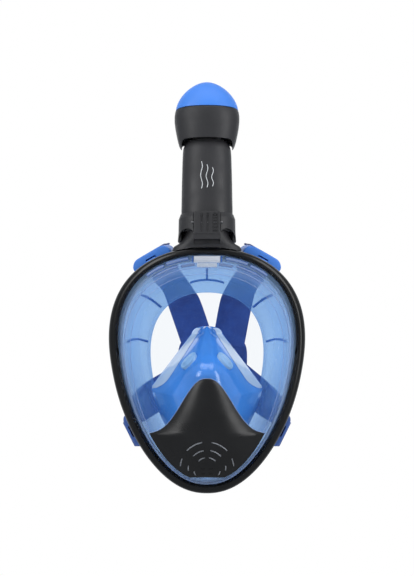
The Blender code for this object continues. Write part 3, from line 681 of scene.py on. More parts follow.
def make_lens(mats):
    outside = ((3.7, -2.0), (11.4, -2.0), (11.6, 8.0), (14.5, 32.0, -2), (17.0, 42.0, -3), (20.0, 47.0, -3))
    inside = ((3.7, -4.4), (13.4, -4.4), (13.8, 8.0), (16.7, 31.0, -2), (19.4, 40.4, -3), (21.6, 44.6, -3))
    edge = (PANEL_INSET / MM, PANEL_EDGE / MM, PANEL_DROP / MM)
    edge_inside = (edge[0], edge[1] - LENS_WALL / MM, edge[2])
    rows = full_profile((edge_inside, *reversed(inside), *outside, edge), 2.2, 5, closed=False)
    scales = [math.cos(math.pi / 2 * i / PANEL_RINGS) for i in range(1, PANEL_RINGS)]
    rings = [
        egg_ring(PANEL_INSET, panel_forward(scale) - LENS_WALL, PANEL_DROP, scale)
        for scale in reversed(scales)
    ]
    rings += [egg_ring(inset, forward, drop) for inset, forward, drop, _ in rows]
    rings += [egg_ring(PANEL_INSET, panel_forward(scale), PANEL_DROP, scale) for scale in scales]
    lens = solid(rings, "lens_shell", mats["clear_lens"])
    drain_hole = rod("drain_cut", DRAIN_RADIUS, 1.5 * CUT_LENGTH, drain_place(), sides=64)
    carve(lens, [intake_cutter(), drain_hole])
    piece(lens, "mask", "clear_lens", "lens")
    make_lens_contours(mats)
    make_lens_tabs(mats)


def make_lens_contours(mats):
    """Fine moulded beads round the lens's side wall and its front edge."""
    for name, inset, forward, drop, radius in (
        ("bead_flange", 11.9, 9.0, 0.0, 0.35),
        ("bead_wall", 13.7, 24.0, -1.2, 0.28),
        ("bead_shoulder", 16.6, 40.6, -2.9, 0.35),
        ("bead_panel", 22.6, 48.6, -3.0, 0.25),
    ):
        path = egg_ring(inset * MM, forward * MM, drop * MM)
        bead = object_from(tube_mesh(path, radius * MM, closed=True), name, mats["lens_edge"])
        piece(bead, "mask", "clear_lens")


# Each row of tabs: insets in mm, how far forward in mm, and degrees from the top
TAB_ROWS = (
    (8.2, 11.2, 8.8, 8.6, 21.0), (14.6, 17.2, 9.6, 5.8, 13.5), (8.7, 11.3, 8.8, 22.5, 34.0),
    (13.6, 15.8, 9.0, 15.5, 29.0),
)


TAB_FRAME = 0.45
TAB_TRIM = 0.004
TAB_ROUNDING = 0.0002
LINE_ROUNDING = 0.0003
WINDOW_HALF_WIDTH = 0.0123
WINDOW_FORWARD = (0.0102, 0.0092)
WINDOW_FALL = (0.0145, 0.0083)
WINDOW_STEP_HALF_WIDTH = 0.0095
WINDOW_STEP_FALL = 0.0042
POST_X = 0.0136
POST_HALF_WIDTH = 0.0007


def make_lens_tabs(mats):
    """Stepped snap tabs each side of the air window at the top of the lens."""
    edges = []
    faces = []
    for inset_low, inset_high, forward, start, end in TAB_ROWS:
        for side in (-1, 1):
            first = math.pi / 2 - side * math.radians(start)
            last = math.pi / 2 - side * math.radians(end)
            trim = side * TAB_TRIM
            insets = (inset_low * MM, inset_high * MM)
            forwards = (forward * MM, (forward + 1) * MM)
            edge = egg_segment("tab_edge", insets, forwards, first, last)
            edges.append(bevelled(edge, LINE_ROUNDING, 2))
            insets = ((inset_low + TAB_FRAME) * MM, (inset_high - TAB_FRAME) * MM)
            forwards = (forwards[1] - 0.0005, forwards[1] + 0.0003)
            tab = egg_segment("tab", insets, forwards, first - trim, last + trim)
            faces.append(bevelled(tab, TAB_ROUNDING, 2))
    for name, parts, finish in (("tab_edges", edges, "lens_line"), ("tab_faces", faces, "lens_tab")):
        piece(joined(name, parts, mats[finish]), "mask", "clear_lens")
    make_air_window(mats)


def make_air_window(mats):
    """The stepped window under the neck, between two dark posts. Its pale grey plate is painted light: the
    light seen through the intake from the neck.
    """
    front, back = (RIM_Y - forward for forward in WINDOW_FORWARD)
    foot, top = (RIM_HALF_HEIGHT - fall for fall in WINDOW_FALL)
    posts = []
    for side in (-1, 1):
        low = (side * POST_X - POST_HALF_WIDTH, front, foot)
        high = (side * POST_X + POST_HALF_WIDTH, back, top)
        posts.append(block("post", low, high))
    posts = bevelled(joined("window_posts", posts, mats["lens_line"]), LINE_ROUNDING, 2)
    piece(posts, "mask", "clear_lens")
    window = block("air_window", (-WINDOW_HALF_WIDTH, front, foot), (WINDOW_HALF_WIDTH, back, top))
    low = (-WINDOW_STEP_HALF_WIDTH, front, foot - WINDOW_STEP_FALL)
    step = block("air_window_step", low, (WINDOW_STEP_HALF_WIDTH, back, foot))
    window = joined("air_window", [window, step], mats["pale_grey"])
    piece(bevelled(window, LINE_ROUNDING, 2), "mask", "valve_silicone")


def drain_place():
    low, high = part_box("drain_flap")
    z = (low.z + high.z) / 2
    rise = (panel_y(0, z + SLOPE_STEP) - panel_y(0, z - SLOPE_STEP)) / (2 * SLOPE_STEP)
    forward = Vector((0, -1, rise)).normalized()
    side = Vector((1, 0, 0))
    return axes_matrix(side, forward.cross(side), forward, Vector((0, panel_y(0, z), z)))


SKIRT_OUTER = (
    (4.0, -6.0), (4.0, -7.1), (12.0, -7.1), (13.0, -14.0), (18.0, -26.0, 0, 3.2),
    (26.0, -35.0, -2, 4.4), (33.0, -38.5, -4.5, SEAL_WRAP), (37.5, -37.5, -5.5, SEAL_WRAP),
)
SKIRT_INNER = (
    (37.5, -35.9, -5.5, SEAL_WRAP), (33.4, -36.3, -4.5, SEAL_WRAP), (27.2, -33.0, -2, 4.4),
    (20.0, -24.6, 0, 3.2), (15.4, -13.0), (14.6, -6.0),
)


def make_skirt(mats):
    skirt = egg_loop("skirt_shell", SKIRT_OUTER + SKIRT_INNER, mats["blue_skirt"], 4.0, 6)
    piece(skirt, "mask", "blue_skirt", "face_skirt")
    make_skirt_ribs(mats)


# Stiffening ribs on the skirt's left: the angles round the rim and shares of the wall it runs between
SKIRT_RIBS = ((90, 90, 0.5, 0.75), (44, 49.5, 0.46, 0.93), (13, 19.5, 0.44, 0.93), (-15, -9, 0.46, 0.8))
CROSS_RIB = (79, 101, 0.755, 0.78)


def skirt_place(angle, share):
    """A point on the skirt's front side, from its flange (0) to its lip (1), and the way out of it."""
    rows = full_profile(SKIRT_OUTER, 4.0, 6, closed=False)
    points = [on_egg(angle, inset, forward, drop, wrap=wrap) for inset, forward, drop, wrap in rows]
    lengths = [(b - a).length for a, b in zip(points, points[1:])]
    left = share * sum(lengths)
    i = 0
    while left > lengths[i] and i < len(lengths) - 1:
        left -= lengths[i]
        i += 1
    point = points[i].lerp(points[i + 1], left / lengths[i])
    along = (points[i + 1] - points[i]).normalized()
    tangent = (on_egg(angle + 0.01, 0.02, 0) - on_egg(angle - 0.01, 0.02, 0)).normalized()
    out = along.cross(tangent).normalized()
    if out.y > 0:
        out = -out
    return point, out, tangent


RIB_HALF_WIDTH = 0.001
RIB_LIFT = 0.0018
RIB_SINK = -0.0008
RIB_STEPS = 16
CROSS_RIB_STEPS = 20
CROSS_RIB_SAG = 0.03
TOP_ANGLE = 90


def skirt_rib(start_angle, end_angle, start, end):
    rings = []
    for share in shares(RIB_STEPS):
        angle = math.radians(start_angle + (end_angle - start_angle) * share)
        point, out, tangent = skirt_place(angle, start + (end - start) * share)
        half = tangent * RIB_HALF_WIDTH
        lift = out * RIB_LIFT
        sink = out * RIB_SINK
        rings.append([point - half + sink, point + half + sink, point + half + lift, point - half + lift])
    return solid(rings, "rib")


def cross_rib():
    start, end, upper, lower = CROSS_RIB
    rings = []
    for share in shares(CROSS_RIB_STEPS):
        angle = math.radians(start + (end - start) * share)
        sag = CROSS_RIB_SAG * (2 * share - 1) ** 2
        point, out, _ = skirt_place(angle, upper + sag)
        low, _, _ = skirt_place(angle, lower + sag)
        sink = out * RIB_SINK
        lift = out * RIB_LIFT
        rings.append([point + sink, low + sink, low + lift, point + lift])
    return solid(rings, "rib")


def make_skirt_ribs(mats):
    parts = [cross_rib()]
    for start_angle, end_angle, start, end in SKIRT_RIBS:
        parts.append(skirt_rib(start_angle, end_angle, start, end))
        if start_angle != TOP_ANGLE:
            parts.append(skirt_rib(180 - start_angle, 180 - end_angle, start, end))
    ribs = joined("skirt_ribs", parts, mats["skirt_rib"])
    bevelled(ribs, LINE_ROUNDING, 2)
    piece(ribs, "mask", "blue_skirt")


# ---- chin cover ----

def bell_half_width(z):
    drop = max(0.0, COVER_TOP - z)
    share = min(drop / BELL_HEIGHT, 0.9999)
    return BELL_SPREAD * (-math.log(1 - share)) ** (1 / BELL_POWER)


def cover_half_width(z):
    return min(bell_half_width(z), egg_half_width(z, PANEL_INSET - COVER_LAP, PANEL_DROP))


def cover_y(x, z):
    half = cover_half_width(z)
    side = min(1.0, abs(x) / max(half, 1e-6))
    bottom = PANEL_DROP - (RIM_HALF_HEIGHT - PANEL_INSET)
    height = (z - bottom) / (COVER_TOP - bottom)
    crown = (1 - side ** 2.4) * math.sin(math.pi * min(1, max(0, height)) ** 0.8) ** 0.6
    return panel_y(x, z) - COVER_WALL - COVER_GAP - COVER_BULGE * crown


def bell_meets_egg():
    low, high = COVER_TOP - BELL_HEIGHT * 0.9999, COVER_TOP
    for _ in range(40):
        middle = (low + high) / 2
        if bell_half_width(middle) > egg_half_width(middle, PANEL_INSET - COVER_LAP, PANEL_DROP):
            low = middle
        else:
            high = middle
    return (low + high) / 2


def make_chin_cover(mats):
    bottom = PANEL_DROP - (RIM_HALF_HEIGHT - PANEL_INSET)
    tip = bell_meets_egg()
    lows = [bottom + (tip - bottom) * (1 - math.cos(math.pi / 2 * share)) for share in shares(26)]
    highs = [tip + (COVER_TOP - tip) * math.sin(math.pi / 2 * share) for share in shares(34)[1:]]
    levels = lows + highs
    levels[0] += 0.0003
    levels[-1] -= 0.0002
    columns = 60
    rows = []
    for z in levels:
        rows.append(surface_row(fanned(cover_half_width(z), columns), z, cover_y))
    cover = object_from(slab_mesh(rows, COVER_WALL), "chin_shell", mats["cover_black"])
    carve(cover, [*grille_cutters(), *drip_cutters()])
    piece(cover, "mask", "satin_black", "chin_cover")
    make_grille_light_lines(mats)
    make_cover_edge(rows, mats)


# The pale sheet under the grille is painted light, so that the slots show as thin light lines.
PALE_SHEET_DEPTH = 0.0011
PALE_SHEET_THICKNESS = 0.0006
PALE_SHEET_FALL = 0.0072
PALE_SHEET_HEIGHT = 0.0337
PALE_SHEET_HALF_WIDTH = 0.0275
PALE_SHEET_MARGIN = 0.003
# The radius of the painted highlight line along the chin cover's upper edge.
HIGHLIGHT_LINE_RADIUS = 0.0006


def make_grille_light_lines(mats):
    """A pale sheet just under the cover's face, seen as thin light lines through its slots: painted light
    in the slots.
    """
    columns, levels = 40, 28
    rows = []
    for share in shares(levels):
        z = GRILLE_CENTRE_Z - PALE_SHEET_FALL + PALE_SHEET_HEIGHT * share
        half = min(PALE_SHEET_HALF_WIDTH, cover_half_width(z) - PALE_SHEET_MARGIN)
        xs = [half * (2 * across - 1) for across in shares(columns)]
        rows.append(surface_row(xs, z, cover_y, PALE_SHEET_DEPTH))
    pale_sheet = object_from(slab_mesh(rows, PALE_SHEET_THICKNESS), "grille_painted_light", mats["pale_grey"])
    piece(pale_sheet, "mask", "valve_silicone")


def make_cover_edge(rows, mats):
    """A light bead in the lens's edge material along the cover's upper edge: a painted highlight, for the
    thin light line where the cover's edge catches the light.
    """
    tip = bell_meets_egg() - 0.001
    kept = [row for row in rows if row[0].z > tip]
    path = [row[0] for row in kept] + [row[-1] for row in reversed(kept)]
    path = [point + Vector((0, COVER_WALL, 0)) for point in path]
    highlight_line = object_from(tube_mesh(path, HIGHLIGHT_LINE_RADIUS), "cover_edge_highlight", mats["lens_edge"])
    piece(highlight_line, "mask", "clear_lens")


DENT_X = 0.0037
DENT_LEVELS = (-0.0868, -0.0915)
DENT_HALF_WIDTH = 0.0018
DENT_HALF_HEIGHT = 0.0008
DENT_DEPTH = 0.0007


def drip_cutters():
    """Four small dents at the foot of the grille."""
    for side in (-1, 1):
        for z in DENT_LEVELS:
            y = cover_y(0, z)
            low = (side * DENT_X - DENT_HALF_WIDTH, y - 0.003, z - DENT_HALF_HEIGHT)
            high = (side * DENT_X + DENT_HALF_WIDTH, y + DENT_DEPTH, z + DENT_HALF_HEIGHT)
            yield block("dent", low, high)


def arc_slot(name, radius, start, end, width):
    """A cutter for a slot along an arc about the grille's centre."""
    angles = [math.radians(start + (end - start) * share) for share in shares(ARC_STEPS)]
    outline = [(radius - width / 2, angle) for angle in angles]
    outline += [(radius + width / 2, angle) for angle in reversed(angles)]
    rings = []
    for y in GRILLE_CUT_Y:
        rings.append([
            Vector((reach * math.cos(angle), y, GRILLE_CENTRE_Z + reach * math.sin(angle)))
            for reach, angle in outline
        ])
    return solid(rings, name)


def grille_cutters():
    """Three pairs of arcs, and three short ticks on each side."""
    for radius in GRILLE_RADII:
        for start, end in GRILLE_ARCS:
            yield arc_slot("slot", radius, start, end, GRILLE_ARC_WIDTH)
    for radius, start, end in GRILLE_TICKS:
        for first, last in ((start, end), (180 - end, 180 - start)):
            yield arc_slot("tick", radius, first, last, GRILLE_TICK_WIDTH)


# ---- nose pocket ----

POCKET_TOP = 0.041
POCKET_BOTTOM = -0.086
POCKET_WALL = 0.002
INHALE_X = 0.0165
INHALE_Z = 0.009
INHALE_WIDTH = 0.0052
INHALE_STRETCH = 0.0075 / INHALE_WIDTH
INHALE_LEAN = 0.35
INHALE_GAP = 0.0004
LIP_HALF_WIDTH = 0.0045
LIP_CURVE = 0.008
LIP_SPREAD = 0.0105
LIP_BASE = 0.0095
LIP_SLOPE = 0.76
LIP_MOST = 0.0535
LIP_INSET = 0.0345
LIP_DROP = -0.005
LIP_Y = -0.0225
LIP_SWEEP = 0.0055
NOSE_TOP = 0.0345
NOSE_SPREAD = 0.046
NOSE_FALL = 0.06
NOSE_RISE = 0.052
CHIN_FALL = 0.012
RIDGE_BASE = 0.006
CROWN_SHARE = 0.8
FLANGE_PROUD = 0.0009
FLANGE_THICKNESS = 0.0006
FLANGE_FOOT = -0.019
FLANGE_WIDTH = 0.0045
FLANGE_GROWTH = 0.0062


def pocket_lip(z):
    """Half-width to the edge of the pocket's lip, rounded over at its top."""
    fall = POCKET_TOP - z
    if fall < LIP_CURVE:
        return LIP_HALF_WIDTH + LIP_SPREAD * math.sqrt(max(0.0, 1 - (1 - fall / LIP_CURVE) ** 2))
    skirt_edge = egg_half_width(z, LIP_INSET, LIP_DROP)
    return min(LIP_BASE + LIP_SLOPE * fall, LIP_MOST, skirt_edge)


def pocket_nose(z):
    """Half-width to the foot of the nose's steep side."""
    fall = max(0.0, NOSE_TOP - z)
    return min(0.0055 + NOSE_SPREAD * (fall / NOSE_FALL) ** 0.72, pocket_lip(z) - 0.0035)


def pocket_ridge(z):
    """How far the pocket's middle stands in front of its lip."""
    nose = NOSE_RISE * smooth_between(z, 0.045, -0.004)
    chin = CHIN_FALL * smooth_between(z, -0.045, POCKET_BOTTOM)
    return RIDGE_BASE + nose - chin


def pocket_y(x, z):
    edge = LIP_Y + LIP_SWEEP * smooth_between(abs(x), 0.005, 0.045)
    side = abs(x) / pocket_nose(z)
    if side <= 1:
        share = CROWN_SHARE * side ** 2.3
    else:
        outside = (abs(x) - pocket_nose(z)) / (pocket_lip(z) - pocket_nose(z))
        share = CROWN_SHARE + (1 - CROWN_SHARE) * outside
    return edge - pocket_ridge(z) * (1 - share)


def inhale_place(side):
    x, z, step = side * INHALE_X, INHALE_Z, SLOPE_STEP
    slope_x = (pocket_y(x + step, z) - pocket_y(x - step, z)) / (2 * step)
    slope_z = (pocket_y(x, z + step) - pocket_y(x, z - step)) / (2 * step)
    out = Vector((slope_x, -1, slope_z)).normalized()
    lean = Vector((-side * INHALE_LEAN, 0, 1))
    up = (lean - out * lean.dot(out)).normalized()
    return axes_matrix(up.cross(out), up, out, Vector((x, pocket_y(x, z), z)))


def make_nose_pocket(mats):
    levels, columns = 72, 72
    rows = []
    for share in shares(levels):
        z = POCKET_TOP + (POCKET_BOTTOM - POCKET_TOP) * share
        rows.append(surface_row(fanned(pocket_lip(z), columns), z, pocket_y))
    pocket = object_from(slab_mesh(rows, POCKET_WALL), "pocket_skin", mats["azure_silicone"])
    radius = INHALE_WIDTH + INHALE_GAP
    places = [inhale_place(side) for side in (-1, 1)]
    carve(pocket, [rod("hole", radius, CUT_LENGTH, place, INHALE_STRETCH) for place in places])
    piece(pocket, "mask", "azure_silicone", "nose_pocket")
    for side, word in ((-1, "right"), (1, "left")):
        make_pocket_flange(side, word, mats)
        make_inhale_cage(side, word, mats)


def make_pocket_flange(side, word, mats):
    """The thin flange along one upper edge of the pocket, made pale as a painted highlight of the lamps'
    reflection there.
    """
    levels, columns = 48, 8
    low_z, high_z = FLANGE_FOOT, POCKET_TOP - 0.0015
    rows = []
    for share in shares(levels):
        z = high_z + (low_z - high_z) * share
        lip = pocket_lip(z) - 0.0004
        closing = math.sqrt(max(0.0, 1 - max(0.0, (share - 0.8) / 0.2) ** 2))
        width = min(FLANGE_WIDTH + FLANGE_GROWTH * share, lip - 0.002) * closing + 0.0004
        xs = [side * (lip - width * across) for across in shares(columns)]
        rows.append(surface_row(xs, z, pocket_y, -FLANGE_PROUD))
    flange = object_from(slab_mesh(rows, FLANGE_THICKNESS), f"pocket_flange_{word}", mats["pale_silicone"])
    piece(flange, "mask", "azure_silicone")


CAGE_LAP = 0.0012
CAGE_RISE = 0.003
CAGE_FACES = (0.0004, -0.0008)
CAGE_STEPS = 13
CAGE_SLOTS = (-0.0022, 0.0, 0.0022)
CAGE_SLOT_HALF_WIDTH = 0.0002
CAGE_SLOT_REACH = (-0.0062, -0.0036)


def make_inhale_cage(side, word, mats):
    """A low slotted dome over one inhale valve."""
    place = inhale_place(side)
    outer = []
    inner = []
    for share in shares(CAGE_STEPS):
        radius = max(0.0002, (INHALE_WIDTH + CAGE_LAP) * share)
        lift = CAGE_RISE * math.sqrt(max(0.0, 1 - share * share))
        outer.append((radius, CAGE_FACES[0] + lift))
        inner.append((radius, CAGE_FACES[1] + lift))
    profile = [*outer, *reversed(inner)]
    cage = turned(f"inhale_cage_{word}", profile, place, mats["valve_pale"], INHALE_STRETCH)
    slots = []
    for x in CAGE_SLOTS:
        low = (x - CAGE_SLOT_HALF_WIDTH, CAGE_SLOT_REACH[0], -0.001)
        high = (x + CAGE_SLOT_HALF_WIDTH, CAGE_SLOT_REACH[1], 0.006)
        slots.append(block("slot", low, high, place))
    piece(carve(cage, slots), "mask", "valve_silicone")


# ---- snorkel ----

def oval_ring(half_width, z, half_depth=None):
    half_depth = half_width * DEPTH_RATIO if half_depth is None else half_depth
    ring = [superellipse(angle, OVAL_POWER) for angle in turns(OVAL_STEPS)]
    return [SNORKEL @ Vector((half_width * x, half_depth * y, z)) for x, y in ring]


def oval_loop(name, profile, material, radius):
    rows = [(row[0], row[1], row[2] if len(row) > 2 else row[0] * DEPTH_RATIO) for row in profile]
    rings = [oval_ring(w * MM, z * MM, d * MM) for w, z, d in filleted(rows, radius)]
    return solid(rings, name, material, closed=True)


NECK_RECESS_BOX = ((-0.0124, -0.03, 0.0018), (0.0124, -0.0126, 0.0062))


def make_socket(mats):
    profile = (
        (34.0, -6.0, 12.0), (32.0, 0.5, 13.0), (27.0, 3.2, 14.8), (23.9, 6.2, 16.4), (21.6, 10.0, 17.6),
        (20.9, 13.0), (20.9, 25.0), (20.0, 26.0), (18.6, 26.0), (18.6, 8.0, 11.0), (18.6, -6.0, 9.5),
    )
    socket = oval_loop("neck_shell", profile, mats["satin_black"], 2.0)
    rings = [egg_ring(-0.0003, forward) for forward in (0.02, -0.035)]
    seat = solid(rings, "seat")
    recess = block("recess", *NECK_RECESS_BOX, SNORKEL)
    carve(socket, [seat, recess])
    piece(socket, "mask", "satin_black", "snorkel_socket")


def make_tube(mats):
    profile = (
        (24.5, 14.0), (24.5, 34.0), (24.1, 60.0), (23.4, 88.0), (22.9, 95.0), (20.8, 100.4),
        (16.8, 103.6), (13.2, 104.6, 12.2), (13.0, 131.2, 12.0), (11.4, 131.2, 10.4),
        (11.4, 103.2, 10.4), (19.0, 98.4), (21.0, 92.6), (21.4, 87.0), (22.4, 34.0), (22.5, 14.0),
    )
    tube = oval_loop("tube_shell", profile, mats["satin_black"], 2.5)
    piece(tube, "snorkel", "satin_black", "snorkel_tube")


WAVES = 3
WAVE_PITCH = 0.0052
WAVE_SWING = 0.0008
WAVE_FOOT = 0.0535
WAVE_HEIGHT = 0.026
WAVE_STEPS = 40
WAVE_RADIUS = 0.00035


def make_wave_mark(mats):
    """A plain printed mark on the tube: three short upright waves, side by side."""
    parts = []
    for row in range(WAVES):
        path = []
        for along in shares(WAVE_STEPS):
            x = WAVE_PITCH * (row - 1) + WAVE_SWING * math.sin(3 * math.pi * along)
            z = WAVE_FOOT + 0.001 * row + (WAVE_HEIGHT - 0.004 * row) * along
            half = (24.5 - 0.9 * max(0.0, (z - 0.034) / 0.054)) * MM
            depth = half * DEPTH_RATIO * (1 - abs(x / half) ** OVAL_POWER) ** (1 / OVAL_POWER)
            path.append(SNORKEL @ Vector((x, -depth, z)))
        parts.append(object_from(tube_mesh(path, WAVE_RADIUS), "wave"))
    piece(joined("wave_mark", parts, mats["mark_white"]), "snorkel", "float_white")


COLLAR_WINDOW_BOX = ((-0.0131, -0.035, 0.0), (0.0131, -0.015, 0.0318))
ARCH_CENTRE = (0.0192, -0.02, 0.0049)
ARCH_RADIUS = 0.0085
ARCH_STRETCH = 1.25
FACE_FORWARD = Matrix.Rotation(math.pi / 2, 4, "X")


def make_collar(mats):
    profile = (
        (27.8, 5.4, 24.9), (27.2, 14.0, 24.6), (27.0, 26.6, 24.4), (25.3, 31.2, 22.1),
        (24.9, 31.2, 21.5), (24.9, 5.4, 21.5),
    )
    collar = oval_loop("collar_shell", profile, mats["satin_black"], 0.7)
    cutters = [block("window", *COLLAR_WINDOW_BOX, SNORKEL)]
    for side in (-1, 1):
        arch = SNORKEL @ Matrix.Translation((side * ARCH_CENTRE[0], *ARCH_CENTRE[1:])) @ FACE_FORWARD
        cutters.append(rod("arch", ARCH_RADIUS, 1.5 * CUT_LENGTH, arch, ARCH_STRETCH, 64))
    carve(collar, cutters)
    piece(collar, "snorkel", "satin_black", "snorkel_collar")


LATCH_BOX = ((-0.0126, -0.0252, 0.0046), (0.0126, -0.0221, 0.0312))
LATCH_ROUNDING = 0.0007
GROOVES = ((-0.005, 0.0011), (0.0006, 0.0011), (0.0076, 0.0024))
GROOVE_HEIGHT = (0.0115, 0.0282)
GROOVE_DEPTH_Y = -0.0241
GROOVE_ROUNDING = 0.0009
LATCH_STEP_BOX = ((-0.02, -0.03, 0.002), (0.02, -0.0247, 0.0096))
RUNGS = 5
RUNG_BOX = ((0.0051, -0.0249, 0.0132), (0.0101, -0.0236, 0.0144))
RUNG_PITCH = 0.003
KNOB_RADIUS = 0.0012
KNOB_LENGTH = 0.001
TOOTH_BOX = ((-0.006, -0.0225, 0.0052), (0.006, -0.0193, 0.0072))


def make_latch(mats):
    """The latch's tab, with three grooves, rungs in the widest, and a short tooth behind."""
    latch = block("latch_tab", *LATCH_BOX, SNORKEL, mats["satin_black"])
    bevelled(latch, LATCH_ROUNDING)
    cutters = []
    for x, half in GROOVES:
        low = (x - half, -0.03, GROOVE_HEIGHT[0])
        groove = block("groove", low, (x + half, GROOVE_DEPTH_Y, GROOVE_HEIGHT[1]), SNORKEL)
        cutters.append(bevelled(groove, GROOVE_ROUNDING, 3))
    cutters.append(block("step", *LATCH_STEP_BOX, SNORKEL))
    carve(latch, cutters)
    parts = [latch, block("tooth", *TOOTH_BOX, SNORKEL)]
    for i in range(RUNGS):
        up = SNORKEL @ Matrix.Translation((0, 0, RUNG_PITCH * i))
        parts.append(block("rung", *RUNG_BOX, up))
    for x, _ in GROOVES:
        knob = SNORKEL @ Matrix.Translation((x, -0.0247, 0.0283)) @ FACE_FORWARD
        parts.append(rod("knob", KNOB_RADIUS, KNOB_LENGTH, knob))
    piece(joined("latch_tab", parts, mats["satin_black"]), "latch", "satin_black", "release_latch")


CASING = (
    (25.2, 95.6), (26.6, 98.0), (28.0, 103.0), (29.3, 109.0), (30.4, 115.0), (31.2, 122.0),
    (31.2, 127.0), (30.4, 132.2),
)


CASING_WALL = 1.7
CASING_FOOT = (23.9, 95.6)
VENT_HALF_WIDTH = 0.0243
VENT_HEIGHT = (0.09, 0.1022)
VENT_ROUNDING = 0.0035


def make_casing(mats):
    inner = [(half - CASING_WALL, z) for half, z in reversed(CASING)]
    inner[-1] = CASING_FOOT
    casing = oval_loop("casing_shell", [*CASING, *inner], mats["satin_black"], 1.6)
    cutters = []
    for side in (-1, 1):
        low = (-VENT_HALF_WIDTH, min(0, side * 0.04), VENT_HEIGHT[0])
        high = (VENT_HALF_WIDTH, max(0, side * 0.04), VENT_HEIGHT[1])
        cutters.append(bevelled(block("window", low, high, SNORKEL), VENT_ROUNDING, 6))
    piece(carve(casing, cutters), "snorkel", "satin_black", "head_casing")


CAP_BASE = 132.7
CAP_HEIGHT = 28.6
CAP_HALF_WIDTH = 30.0
CAP_WALL = 1.8
CAP_POWER = 1.66
CAP_STEPS = 28


def make_cap(mats):
    """The cap's dome, a shell with its own inner face."""
    outside, inside = [], []
    for i in range(CAP_STEPS):
        across, up = superellipse(math.pi / 2 * i / (CAP_STEPS - 0.6), CAP_POWER)
        for rings, wall in ((outside, 0.0), (inside, CAP_WALL)):
            z = CAP_BASE + (CAP_HEIGHT - wall) * up
            rings.append(oval_ring((CAP_HALF_WIDTH - wall) * across * MM, z * MM))
    rings = list(reversed(inside)) + outside
    cap = solid(rings, "cap_dome", mats["azure_plastic"])
    piece(cap, "snorkel", "azure_plastic", "head_cap")


# ---- harness ----

STRAP_CLIP_WIDTH = 0.026
STRAP_REAR_WIDTH = 0.034
STRAP_THICKNESS = 0.0018
REAR_CURVE = 6.0
PATCH_POWER = 3.2
REAR_CENTRE = Vector(((PAD_LOW.x + PAD_HIGH.x) / 2, PAD_HIGH.y - 0.003, (PAD_LOW.z + PAD_HIGH.z) / 2))
REAR_HALF_WIDTH = (PAD_HIGH.x - PAD_LOW.x) / 2
REAR_HALF_HEIGHT = (PAD_HIGH.z - PAD_LOW.z) / 2

CLIP_INNER = -0.0036
CLIP_STATIONS = (0.0102, 0.02, 0.037)
CLIP_NARROW = 0.72
CLIP_CORNER = 0.004
CLIP_ROUNDING = 0.0013
LUG_POCKET_BOX = ((-0.0056, -0.02, 0.0), (0.0056, 0.0028, 0.0202))
SLOT_SIDE_GAP = 0.001
CLIP_BORE_GAP = 0.0003
SLOT_BACKS = (SLOT_BACK - 0.0026, SLOT_BACK + 0.0012)
# Each level's half-length, how far its front stands out, and its material; the lower level's darker blue is
# painted shade.
CLIP_SIZES = {"upper": (0.0205, 0.0078, "azure_plastic"), "lower": (0.0168, 0.0048, "royal_plastic")}


def make_clip(name, place, mats):
    """A strap clip: a wedge on a pin across the frame's lug, with a slot for the strap behind."""
    half_length, reach, finish = CLIP_SIZES[name.split("_")[0]]
    slim = 0.004 + 0.25 * reach
    half = [(-half_length, CLIP_INNER), (-half_length, reach * 0.35), (-half_length * CLIP_NARROW, reach)]
    section = [half[0], *[(-x, y) for x, y in half], *reversed(half[1:])]
    section = filleted(section, CLIP_CORNER, 6)
    rings = []
    for back, shrink, most in zip(CLIP_STATIONS, (1, 0.99, 0.95), (reach, 0.5 * (reach + slim), slim)):
        rings.append([place @ Vector((x * shrink, min(y, most), back)) for x, y in section])
    clip = solid(rings, f"clip_shell_{name}", mats[finish])
    bevelled(clip, CLIP_ROUNDING, 4)
    slot_half = STRAP_CLIP_WIDTH / 2 + SLOT_SIDE_GAP
    cutters = [
        block("pocket", *LUG_POCKET_BOX, place),
        rod("bore", PIN_RADIUS + CLIP_BORE_GAP, 2.5 * CUT_LENGTH, pin_place(place)),
        block("slot", (-slot_half, -0.03, SLOT_BACKS[0]), (slot_half, 0.03, SLOT_BACKS[1]), place),
    ]
    piece(carve(clip, cutters), f"clip_{name}", finish, f"strap_clip_{name}")


def curve_point(points, share):
    """A point on a smooth curve through the points, from 0 at the first to 1 at the last."""
    spans = len(points) - 1
    place = min(share * spans, spans - 1e-9)
    i = int(place)
    t = place - i
    before = points[max(i - 1, 0)]
    after = points[min(i + 2, spans)]
    start, end = points[i], points[i + 1]
    return 0.5 * (
        2 * start
        + (end - before) * t
        + (2 * before - 5 * start + 4 * end - after) * t * t
        + (3 * start - before - 3 * end + after) * t ** 3
    )


def strap_end(across, up):
    """A place on the front of the rear patch, which bends round the head."""
    return REAR_CENTRE + Vector((across, -0.0042 - REAR_CURVE * across * across, up))


# Each level's two middle points, its last place on the patch, and the width directions at all three,
# for the left side
ROUTES = {
    "upper": (((0.043, 0.052, 0.092), (0.03, 0.102, 0.070)), (0.0182, 0.0235),
              ((1, 0, -0.2), (1, -0.1, 0.25), (1, -0.21, 0.25))),
    "lower": (((0.076, 0.042, -0.05), (0.057, 0.092, -0.036)), (0.0245, -0.019),
              ((0, 0, 1), (0.3, 0, 1), (0.55, -0.12, 1))),
}
UPPER_LEAN = 0.45


def strap_route(name, place):
    """(middle points, width directions) from behind a clip to the rear patch."""
    level, word = name.split("_")
    side = 1 if word == "left" else -1
    middles, (across, up), widths = ROUTES[level]
    slot_line = place.to_3x3() @ Vector((1, 0, 0))
    slot_line *= math.copysign(1, slot_line.x * side if level == "upper" else slot_line.z)
    lean = REAR_CENTRE.x * UPPER_LEAN if level == "upper" else 0.0
    points = [place @ Vector((0, -0.004, SLOT_BACK + 0.0145))]
    for (x, y, z), share in zip(middles, (0.5, 1.0)):
        points.append(Vector((side * x + lean * share, y, z)))
    points.append(strap_end(side * across, up))
    return points, [slot_line] + [Vector((side * x, y, z)) for x, y, z in widths]


